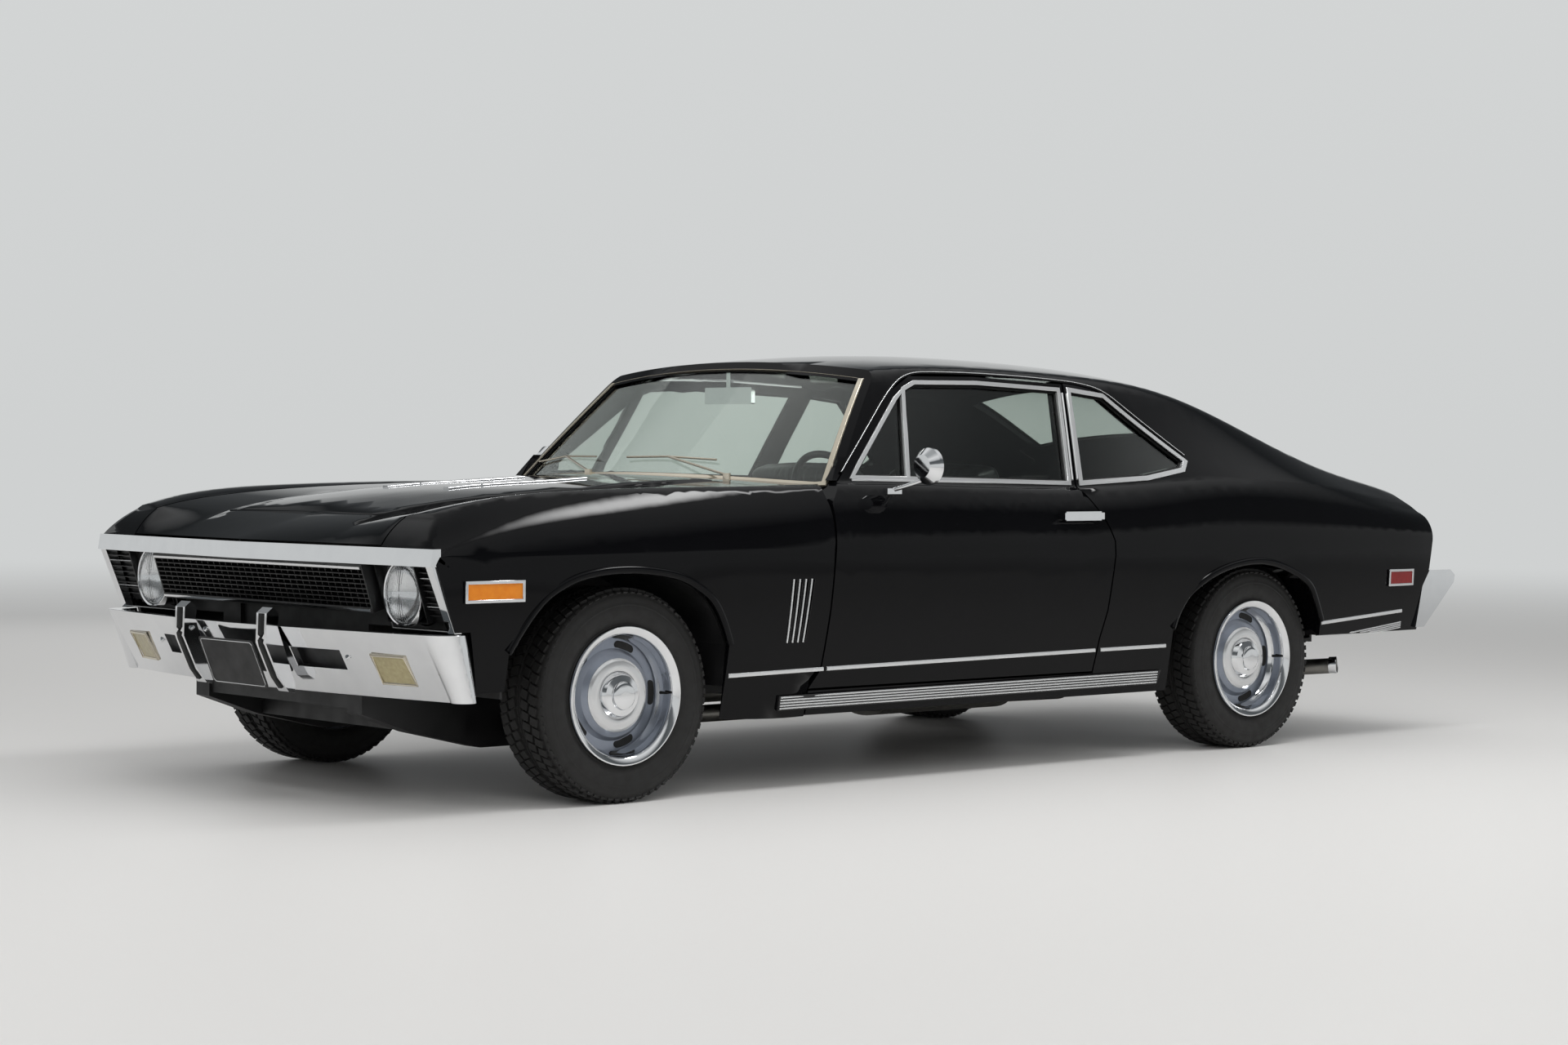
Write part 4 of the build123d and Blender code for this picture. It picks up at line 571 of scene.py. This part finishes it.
# the blank plate with rounded corners and a thin bright border
plate = {"centre": (front - 0.797, 0, 0.400), "size": (0.002, 0.305, 0.152), "lean": -22, "corner": 0.012,
         "border": (0.143, 0.070, 0.008), "raised": 0.0016, "line": (0.003, 0.002)}
plateTurn = Matrix.Rotation(math.radians(plate["lean"]), 4, "Y")
shape = bmesh.new()
addBlock(shape, plate["centre"], plate["size"], plateTurn)
runs = [(edge, edge.verts[0].co - edge.verts[1].co) for edge in shape.edges]
shortEdges = [edge for edge, run in runs if abs(run.y) < 0.001 and abs(run.z) < 0.003]
bmesh.ops.bevel(shape, geom=shortEdges, offset=plate["corner"], segments=4, profile=0.5, affect="EDGES",
                material=-1)
newPiece("plate_blank", shape, satinBlack, "body")
wide, high, cut = plate["border"]
upper = [(-wide, high - cut), (cut - wide, high), (wide - cut, high), (wide, high - cut)]
border = [Vector(plate["centre"]) + plateTurn @ Vector((-plate["raised"], y, z))
          for y, z in upper + [(-y, -z) for y, z in upper]]
strip("plate_border", border, *plate["line"], anodised, "body", closed=True)
print("front end made")

# rubber inside the rims of the glass, bright frames outside: band width, foot and top
bands = {"windshield_seal": (-0.009, -0.001, 0.004), "windshield_surround": (0.017, 0.003, 0.0145),
         "rear_window_seal": (-0.008, -0.001, 0.004), "rear_window_surround": (0.016, 0.002, 0.0105),
         "door_glass_seal": (-0.007, -0.001, 0.006), "door_glass_frame": (0.015, 0.002, 0.0165),
         "quarter_seal": (-0.007, -0.001, 0.006), "quarter_frame": (0.018, 0.002, 0.0165)}
facings = {"windshield": (-1, 0, 0.7), "rear_window": (0.6, 0, 1), "left": (0, -1, 0.25),
           "right": (0, 1, 0.25)}
for pane, metal in (("windshield", stainless), ("rear_window", anodised)):
    frameRound(pane + "_seal", pane, facings[pane], bands[pane + "_seal"], sealRubber, "body", ease=0)
    frameRound(pane + "_surround", pane, facings[pane], bands[pane + "_surround"], metal, "body")
for side, sign in sides.items():
    out, door, pane = facings[side], "door_" + side, "door_glass_" + side
    frameRound(f"door_glass_seal_{side}", pane, out, bands["door_glass_seal"], sealRubber, door, ease=0)
    frameRound(f"door_glass_frame_{side}", pane, out, bands["door_glass_frame"], anodised, door)
    for name, finish, ease in (("quarter_seal", sealRubber, 0), ("quarter_frame", anodised, 0.0012)):
        frameRound(f"{name}_{side}", "quarter_glass", out, bands[name], finish, "body", ease=ease,
                   keep=lambda spot: spot.y * sign > 0)
print("window frames made")

# bright lines laid on the skin: name, body, start (station, z), end, width
trimLine = {"lift": 0.0005, "depth": 0.006}
sideTrim = [
    ("lower_trim_fender", "body", (0.362, 0.361), (0.7435, 0.3665), 0.013),
    ("lower_trim_door", "door", (0.758, 0.3668), (1.965, 0.3785), 0.013),
    ("lower_trim_quarter", "body", (1.992, 0.3788), (2.318, 0.381), 0.013),
    ("lower_trim_tail", "body", (3.152, 0.432), (3.640, 0.462), 0.013),
    ("belt_trim_door", "door", (0.925, 0.9455), (1.888, 0.9325), 0.008),
    ("belt_trim_quarter", "body", (1.986, 0.9335), (2.30, 0.9500), 0.008),
]
for side, sign in sides.items():
    for name, body, start, end, width in sideTrim:
        points = [onSide(front + s, z, sign, trimLine["lift"]) for s, z in between(start, end, 12)]
        strip(f"{name}_{side}", points, width, trimLine["depth"], anodised,
              "door_" + side if body == "door" else body)

# enamelled drip rails over doors and rear pillars; the bright strip on top is a painted highlight along the
# rail's crown
dripRail = {"rail": [(0.885, 0.968), (1.04, 1.098), (1.20, 1.236), (1.308, 1.291), (1.45, 1.2945),
                     (1.609, 1.2945), (1.82, 1.289), (2.034, 1.279), (2.12, 1.272), (2.235, 1.252),
                     (2.33, 1.182), (2.43, 1.105), (2.53, 1.028)],
            "lift": 0.003, "size": (0.010, 0.010), "highlightLift": 0.0035, "line": (0.003, 0.003)}
for side, sign in sides.items():
    points = [onSide(front + s, z, sign, dripRail["lift"]) for s, z in dripRail["rail"]]
    strip(f"drip_rail_{side}", points, *dripRail["size"], enamel, "body", bent=True)
    # the bright strip laid on top is a painted highlight
    above = Vector((0, sign * dripRail["highlightLift"], dripRail["highlightLift"]))
    points = [point + above for point in points]
    strip(f"drip_rail_highlight_{side}", points, *dripRail["line"], anodised, "body", bent=True)

# bright covers of the post between door and quarter window: foot and head
postCovers = {"door": ((1.932, 0.944), (2.018, 1.236)), "body": ((1.957, 0.946), (2.040, 1.234))}
postCover = {"lift": 0.003, "size": (0.014, 0.007)}
for side, sign in sides.items():
    for part, (foot, head) in postCovers.items():
        points = [onSide(front + s, z, sign, postCover["lift"]) for s, z in between(foot, head, 10)]
        strip(f"post_cover_{part}_{side}", points, *postCover["size"], anodised,
              "door_" + side if part == "door" else "body")

# rolled lips of the arches, moved just outside the edge, away from the wheel's middle
archLip = {"middle": 0.33, "out": 0.010, "back": 0.006, "lift": 0.0015, "size": (0.024, 0.018)}
arches = {"front": [(-0.459, 0.461), (-0.36, 0.582), (-0.265, 0.655), (-0.16, 0.679), (-0.055, 0.685),
                    (0.05, 0.679), (0.16, 0.661), (0.235, 0.623), (0.285, 0.589), (0.33, 0.52),
                    (0.357, 0.455)],
          "rear": [(2.350, 0.438), (2.415, 0.525), (2.488, 0.600), (2.62, 0.645), (2.769, 0.662),
                   (2.90, 0.645), (3.062, 0.584), (3.11, 0.512), (3.148, 0.441)]}
for side, sign in sides.items():
    for end, lip in arches.items():
        points = []
        for station, z in lip:
            away = Vector((front + station - axles[end], 0, z - archLip["middle"])).normalized()
            x, up = front + station + away.x * archLip["out"], z + away.z * archLip["out"]
            points.append(onSide(x, up, sign, archLip["lift"]) - away * archLip["back"])
        strip(f"arch_lip_{end}_{side}", points, *archLip["size"], enamel, "body", bent=True)

# ribs of the rocker mouldings and behind the rear wheels: foot and top rib, start and end
rockerRibs = {"count": 5, "foot": ((0.575, 0.2515), (2.284, 0.2575)),
              "top": ((0.575, 0.2855), (2.284, 0.2927)), "proud": 0.0082, "size": (0.0056, 0.0045)}
tailRibs = {"count": 4, "foot": ((3.122, 0.350), (3.640, 0.400)), "top": ((3.138, 0.372), (3.640, 0.420)),
            "proud": 0.001, "size": (0.0052, 0.005)}
for side, sign in sides.items():
    for name, ribs, count in (("rocker_rib", rockerRibs, 16), ("tail_rocker", tailRibs, 8)):
        starts = between(ribs["foot"][0], ribs["top"][0], ribs["count"])
        ends = between(ribs["foot"][1], ribs["top"][1], ribs["count"])
        for number, (start, end) in enumerate(zip(starts, ends)):
            points = [onSide(front + s, z, sign, ribs["proud"]) for s, z in between(start, end, count)]
            strip(f"{name}_{side}_{number}", points, *ribs["size"], anodised, "body")

# fender gills: four bright blades, each before a dark strip, painted shade of the slot behind the blade
gill = {"count": 4, "top": 0.601, "foot": 0.585, "topPitch": 0.0245, "footPitch": 0.0215,
        "heights": (0.646, 0.453), "blade": (0.0075, 0.006), "lift": 0.0015,
        "shadeHeights": (0.644, 0.455), "slotShade": (0.013, 0.0016), "shadeLift": 0.0002, "behind": 0.0105}
for side, sign in sides.items():
    for number in range(gill["count"]):
        top, foot = gill["top"] + number * gill["topPitch"], gill["foot"] + number * gill["footPitch"]
        line = between((top, gill["heights"][0]), (foot, gill["heights"][1]), 8)
        points = [onSide(front + s, z, sign, gill["lift"]) for s, z in line]
        strip(f"gill_{side}_{number}", points, *gill["blade"], anodised, "body", tilt=90)
        # the dark strip laid on the skin is painted shade
        line = between((top, gill["shadeHeights"][0]), (foot, gill["shadeHeights"][1]), 8)
        points = [onSide(front + s + gill["behind"], z, sign, gill["shadeLift"]) for s, z in line]
        strip(f"gill_slot_shade_{side}_{number}", points, *gill["slotShade"], satinBlack, "body", tilt=90)

# side markers: bright frames; the lenses amber in front and red behind
marker = {"front": (front - 0.52, amberLens), "rear": (front + 3.615, redLens), "reach": 0.2,
          "band": (0.009, -0.003, 0.0035), "eased": 0.001}
for side, sign in sides.items():
    for end in axles:
        middle = marker[end][0]
        frameRound(f"marker_frame_{end}_{side}", "side_markers", (0, sign, 0), marker["band"], chrome, "body",
                   ease=marker["eased"],
                   keep=lambda spot: spot.y * sign > 0 and abs(spot.x - middle) < marker["reach"])
for end in axles:
    shape = copyOf("side_markers")
    others = [corner for corner in shape.verts if (corner.co.x > 0) == (end == "front")]
    bmesh.ops.delete(shape, geom=others, context="VERTS")
    markerLens = newPiece(f"marker_lens_{end}", shape, marker[end][1], "body")
    if end == "front":
        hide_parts("side_markers")

# hood inserts: a short block and a long rounded strip: start, end, width, depth
inserts = {"insert_nose": (-0.150, -0.030, 0.030, 0.012), "insert_strip": (-0.020, 0.384, 0.024, 0.010)}
insertAt = {"y": 0.164, "lift": 0.001}
for side, sign in sides.items():
    for name, (start, end, width, depth) in inserts.items():
        line = between((front + start, sign * insertAt["y"]), (front + end, sign * insertAt["y"]), 10)
        points = [onTop(x, y, insertAt["lift"]) for x, y in line]
        strip(f"hood_{name}_{side}", points, width, depth, chrome, "hood", tilt=90)
print("side trim made")


# upholstery: how far sides pull in, longest edge before pleating, sharpness of a fold
sewing = {"pullIn": 0.03, "longEdge": 0.0165, "fold": 0.6}


# a crowned block with rolled edges, whose sides pull in between its corners
def crowned(size, radius, crown):
    shape = bmesh.new()
    bmesh.ops.create_cube(shape, size=1.0, matrix=Matrix.Diagonal((*size, 1)))
    bmesh.ops.bevel(shape, geom=shape.edges[:], offset=radius, segments=4, profile=0.5, affect="EDGES",
                    material=-1)
    longEdges = [edge for edge in shape.edges if edge.calc_length() > radius * 1.6]
    bmesh.ops.subdivide_edges(shape, edges=longEdges, cuts=10, use_grid_fill=True)
    bmesh.ops.remove_doubles(shape, verts=shape.verts, dist=0.0002)
    for corner in shape.verts:
        u, v, w = (2 * c / s for c, s in zip(corner.co, size))
        if w > 0:
            corner.co.z += crown * (1 - u * u) * (1 - v * v)
        corner.co.x *= 1 - sewing["pullIn"] * v * v
        corner.co.y *= 1 - sewing["pullIn"] * u * u
    return shape


# sewn pleats across the top, from low to high, in metres
def pleat(shape, low, high, pitch, depth):
    for corner in shape.verts:
        if low < corner.co.y < high and corner.normal.z > 0.4:
            phase = (corner.co.y - low) / pitch
            corner.co.z -= depth * (1 - abs(math.sin(math.pi * phase)) ** sewing["fold"])


def cushion(name, spot, size, radius, crown, turn, pleats):
    shape = crowned(size, radius, crown)
    longEdges = [edge for edge in shape.edges if edge.calc_length() > sewing["longEdge"]]
    bmesh.ops.subdivide_edges(shape, edges=longEdges, cuts=3, use_grid_fill=True)
    bmesh.ops.recalc_face_normals(shape, faces=shape.faces)
    shape.normal_update()
    pleat(shape, *pleats)
    place = Matrix.Translation(spot) @ Matrix.Rotation(math.radians(turn), 4, "Y")
    bmesh.ops.transform(shape, matrix=place, verts=shape.verts)
    piece = newPiece(name, shape, vinyl, "body", smooth=60)
    return piece


# front seats on plain plinths, and the rear bench: turn in degrees; pleats from, to, pitch and depth
seatBase = {"size": (0.50, 0.50, 0.15), "radius": 0.035, "crown": 0.02, "turn": -8,
            "pleats": (-0.17, 0.17, 0.034, 0.006)}
seatBack = {"size": (0.60, 0.48, 0.11), "radius": 0.035, "crown": 0.018, "turn": -106,
            "pleats": (-0.16, 0.16, 0.032, 0.006)}
benchBase = {"size": (0.48, 1.14, 0.15), "radius": 0.04, "crown": 0.018, "turn": -6,
             "pleats": (-0.5, 0.5, 0.04, 0.006)}
benchBack = {"size": (0.56, 1.12, 0.12), "radius": 0.04, "crown": 0.015, "turn": -114,
             "pleats": (-0.5, 0.5, 0.04, 0.006)}
seats = {"y": 0.36, "base": (0.045, 0.385), "back": (0.285, 0.70), "plinth": (0.36, 0.36, 0.06),
         "plinthZ": 0.292, "eased": 0.008}
benchAt = {"base": (0.655, 0, 0.385), "back": (0.895, 0, 0.645)}
for side, sign in sides.items():
    y = sign * seats["y"]
    (baseX, baseZ), (backX, backZ) = seats["base"], seats["back"]
    base = cushion(f"front_seat_base_{side}", (baseX, y, baseZ), **seatBase)
    cushion(f"front_seat_back_{side}", (backX, y, backZ), **seatBack)
    if sign < 0:
        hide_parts("front_seats")
    plinth = bmesh.new()
    addBlock(plinth, (baseX, y, seats["plinthZ"]), seats["plinth"])
    easeEdges(newPiece(f"front_seat_frame_{side}", plinth, satinBlack, "body"), seats["eased"])
bench = cushion("rear_bench_base", benchAt["base"], **benchBase)
cushion("rear_bench_back", benchAt["back"], **benchBack)
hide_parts("rear_seat")
print("seats made")

# dashboard: pins at the dials' middles (y, radius in mm), bright line of the glovebox
dials = {"places": ((-0.47, 0.046), (-0.36, 0.046), (-0.25, 0.030)), "z": 0.815, "steps": 40}
glovebox = {"y": (0.20, 0.35, 0.52), "z": 0.80, "proud": 0.001, "line": (0.006, 0.004)}
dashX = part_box("dashboard")[1].x
for number, (y, radius) in enumerate(dials["places"]):
    outline = [(0, radius), (3, radius), (4.5, radius - 0.002), (2, radius - 0.005), (1.5, 0)]
    pin = turned(outline, (dashX, y, dials["z"]), (1, 0, 0), dials["steps"])
    newPiece(f"dial_{number}", pin, chrome, "body")
points = [(dashX + glovebox["proud"], y, glovebox["z"]) for y in glovebox["y"]]
strip("glovebox_line", points, *glovebox["line"], anodised, "body")

# tail: bright frames and reversing lamps on the lenses, tips of the pipes, the lock
tailLamp = {"rim": ((-0.001, 0.472, 0.788), (-0.001, 0.768, 0.788), (-0.003, 0.768, 0.682),
                    (-0.003, 0.472, 0.682)), "frame": (0.009, 0.006),
            "white": (0.0015, 0.545, 0.735), "whiteSize": (0.005, 0.075, 0.052), "eased": 0.002}
pipeTip = {"x": front + 3.363, "y": 0.772, "z": 0.2655, "way": (0.5, 0.86, 0.03),
           "outline": [(0, 30), (26, 31), (28, 29.5), (26, 27), (0, 26)]}
deckLock = {"z": 0.79, "sunk": 0.004, "outline": [(0, 17), (3, 17), (5, 14), (5.5, 0)]}
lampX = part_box("tail_lamps")[1].x
for side, sign in sides.items():
    rim = [(lampX + x, sign * y, z) for x, y, z in tailLamp["rim"]]
    strip(f"tail_lamp_frame_{side}", rim, *tailLamp["frame"], chrome, "body", closed=True)
    white = bmesh.new()
    x, y, z = tailLamp["white"]
    addBlock(white, (lampX + x, sign * y, z), tailLamp["whiteSize"])
    easeEdges(newPiece(f"reverse_lamp_{side}", white, silvered, "body"), tailLamp["eased"])
    x, y, z = pipeTip["way"]
    tip = turned(pipeTip["outline"], (pipeTip["x"], sign * pipeTip["y"], pipeTip["z"]), (x, sign * y, z), 32)
    newPiece(f"tail_pipe_tip_{side}", tip, chrome, "body")
lockAt = (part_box("tail_panel")[1].x - deckLock["sunk"], 0, deckLock["z"])
newPiece("deck_lock", turned(deckLock["outline"], lockAt, (1, 0, 0), 32), chrome, "body")
print("tail made")


# a flat stage object: a grid of half this width and length, declared as no part of the car
def newStage(name, width, length, finish):
    shape = bmesh.new()
    bmesh.ops.create_grid(shape, x_segments=8, y_segments=8, size=1.0)
    bmesh.ops.scale(shape, vec=(width, length, 1), verts=shape.verts)
    mesh = bpy.data.meshes.new(name)
    shape.to_mesh(mesh)
    shape.free()
    mesh.materials.append(finish)
    flat = bpy.data.objects.new(name, mesh)
    scene.collection.objects.link(flat)
    flat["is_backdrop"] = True
    return flat


# the pale floor fades into the tone of the walls between two distances
studio = {"floorTone": "e2e1df", "farTone": "cfd1d1", "worldLight": 0.45, "fadeFrom": 5.0, "fadeTo": 20.0,
          "floorHalf": 120}
floorPaint = bpy.data.materials.new("pale_floor")
tree = emptyTree(floorPaint)
place = addNode(tree, "ShaderNodeTexCoord").outputs["Object"]
reach = addNode(tree, "ShaderNodeVectorMath", {0: place}, operation="LENGTH").outputs["Value"]
fade = addNode(tree, "ShaderNodeMapRange",
               {"Value": reach, "From Min": studio["fadeFrom"], "From Max": studio["fadeTo"]},
               interpolation_type="SMOOTHSTEP")
near = addNode(tree, "ShaderNodeBsdfPrincipled",
               {"Base Color": linear(studio["floorTone"]), "Roughness": 0.45, "Specular IOR Level": 0.35})
far = addNode(tree, "ShaderNodeEmission", {"Color": linear(studio["farTone"]), "Strength": 1.0})
blend = addNode(tree, "ShaderNodeMixShader",
                {0: fade.outputs["Result"], 1: near.outputs["BSDF"], 2: far.outputs["Emission"]})
addNode(tree, "ShaderNodeOutputMaterial", {"Surface": blend.outputs["Shader"]})
newStage("studio_floor", studio["floorHalf"], studio["floorHalf"], floorPaint)

# the world: pale walls, a dim hall over them, a bright ceiling, by the height of the direction
hallTones = ((0.0, "cfd1d1"), (0.17, "d3d5d5"), (0.25, "66696b"), (0.48, "505456"), (0.61, "c9cbcc"),
             (0.78, "e6e7e7"), (0.95, "a4a7a8"))
world = bpy.data.worlds.new("studio")
scene.world = world
tree = emptyTree(world)
ray = addNode(tree, "ShaderNodeLightPath").outputs
seen = addNode(tree, "ShaderNodeMath", {0: ray["Is Camera Ray"], 1: ray["Is Glossy Ray"]},
               operation="MAXIMUM")
seen = addNode(tree, "ShaderNodeMath", {0: seen.outputs[0], 1: ray["Is Transmission Ray"]},
               operation="MAXIMUM")
direction = addNode(tree, "ShaderNodeTexCoord").outputs["Generated"]
height = addNode(tree, "ShaderNodeSeparateXYZ", {"Vector": direction}).outputs["Z"]
hall = addNode(tree, "ShaderNodeValToRGB", {"Fac": height})
while len(hall.color_ramp.elements) < len(hallTones):
    hall.color_ramp.elements.new(0.5)
for stop, (at, tone) in zip(hall.color_ramp.elements, hallTones):
    stop.position, stop.color = at, linear(tone)
shown = addNode(tree, "ShaderNodeBackground", {"Color": hall.outputs["Color"], "Strength": 1.0})
lit = addNode(tree, "ShaderNodeBackground", {"Color": linear("ffffff"), "Strength": studio["worldLight"]})
both = addNode(tree, "ShaderNodeMixShader",
               {0: seen.outputs[0], 1: lit.outputs["Background"], 2: shown.outputs["Background"]})
addNode(tree, "ShaderNodeOutputWorld", {"Surface": both.outputs["Shader"]})

# softboxes, not seen in the gloss: place, aimed at, width, length, watts
softboxes = {"overhead": ((-0.6, -2.3, 4.6), (-0.4, -0.3, 0.6), 7.5, 1.3, 130),
             "ceiling": ((0.2, 0.6, 6.0), (0.2, 0.2, 0.0), 5.0, 8.0, 70),
             "key": ((-6.5, -7.0, 4.6), (-0.8, 0.0, 0.6), 5.0, 5.0, 230),
             "fill": ((4.5, -8.0, 3.2), (0.4, 0.0, 0.6), 4.0, 4.0, 90),
             "behind": ((2.5, 7.5, 4.0), (0.3, 0.0, 0.8), 5.0, 4.0, 60)}
for name, (spot, aim, width, length, watts) in softboxes.items():
    light = bpy.data.lights.new(name, "AREA")
    light.shape = "RECTANGLE"
    light.size, light.size_y, light.energy = width, length, watts
    holder = bpy.data.objects.new(name, light)
    turn = (Vector(aim) - Vector(spot)).to_track_quat("-Z", "Y").to_matrix().to_4x4()
    holder.matrix_world = Matrix.Translation(spot) @ turn
    holder.visible_glossy = False
    scene.collection.objects.link(holder)

# a feathered panel that only gloss surfaces mirror: the soft highlight of the shoulders
softPanel = {"centre": (1.35, -1.85, 4.6), "half": (1.5, 0.62), "turn": 52, "strength": 22.0}
glow = bpy.data.materials.new("feathered_light")
tree = emptyTree(glow)
place = addNode(tree, "ShaderNodeTexCoord").outputs["Object"]
halfWidth, halfLength = softPanel["half"]
place = addNode(tree, "ShaderNodeVectorMath", {0: place, 1: (1 / halfWidth, 1 / halfLength, 1)},
                operation="MULTIPLY").outputs["Vector"]
reach = addNode(tree, "ShaderNodeVectorMath", {0: place}, operation="LENGTH").outputs["Value"]
fade = addNode(tree, "ShaderNodeMapRange",
               {"Value": reach, "From Min": 1.0, "From Max": 0.15, "To Max": softPanel["strength"]},
               interpolation_type="SMOOTHSTEP")
soft = addNode(tree, "ShaderNodeEmission", {"Color": linear("ffffff"), "Strength": fade.outputs["Result"]})
clear = addNode(tree, "ShaderNodeBsdfTransparent")
feather = addNode(tree, "ShaderNodeMapRange", {"Value": reach, "From Min": 1.0, "From Max": 0.85})
blend = addNode(tree, "ShaderNodeMixShader",
                {0: feather.outputs["Result"], 1: clear.outputs["BSDF"], 2: soft.outputs["Emission"]})
addNode(tree, "ShaderNodeOutputMaterial", {"Surface": blend.outputs["Shader"]})
overhang = newStage("soft_panel", halfWidth, halfLength, glow)
overhang.matrix_world = (Matrix.Translation(softPanel["centre"])
                         @ Matrix.Rotation(math.radians(softPanel["turn"]), 4, "Z"))
for way in ("camera", "diffuse", "transmission", "shadow", "volume_scatter"):
    setattr(overhang, "visible_" + way, False)

# camera: place in metres, angles in degrees, focal length in mm on a 36 mm sensor
view = {"spot": (-7.139222, -7.855202, 1.025281), "yaw": 41.50627, "pitch": -1.27913, "roll": 0.38653,
        "focal": 70.424, "sensor": 36, "clip": (0.1, 300)}
yaw, pitch, roll = (math.radians(view[word]) for word in ("yaw", "pitch", "roll"))
ahead = Vector((math.sin(yaw) * math.cos(pitch), math.cos(yaw) * math.cos(pitch), math.sin(pitch)))
level = Vector((math.cos(yaw), -math.sin(yaw), 0))
upright = level.cross(ahead)
across = level * math.cos(roll) + upright * math.sin(roll)
above = upright * math.cos(roll) - level * math.sin(roll)
camera = bpy.data.objects.new("camera", bpy.data.cameras.new("camera"))
camera.data.lens, camera.data.sensor_width = view["focal"], view["sensor"]
camera.data.clip_start, camera.data.clip_end = view["clip"]
turn = Matrix((across, above, -ahead)).transposed().to_4x4()
camera.matrix_world = Matrix.Translation(view["spot"]) @ turn
scene.collection.objects.link(camera)
scene.camera = camera
scene.view_settings.view_transform = "Standard"
print("studio made")

low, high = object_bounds()
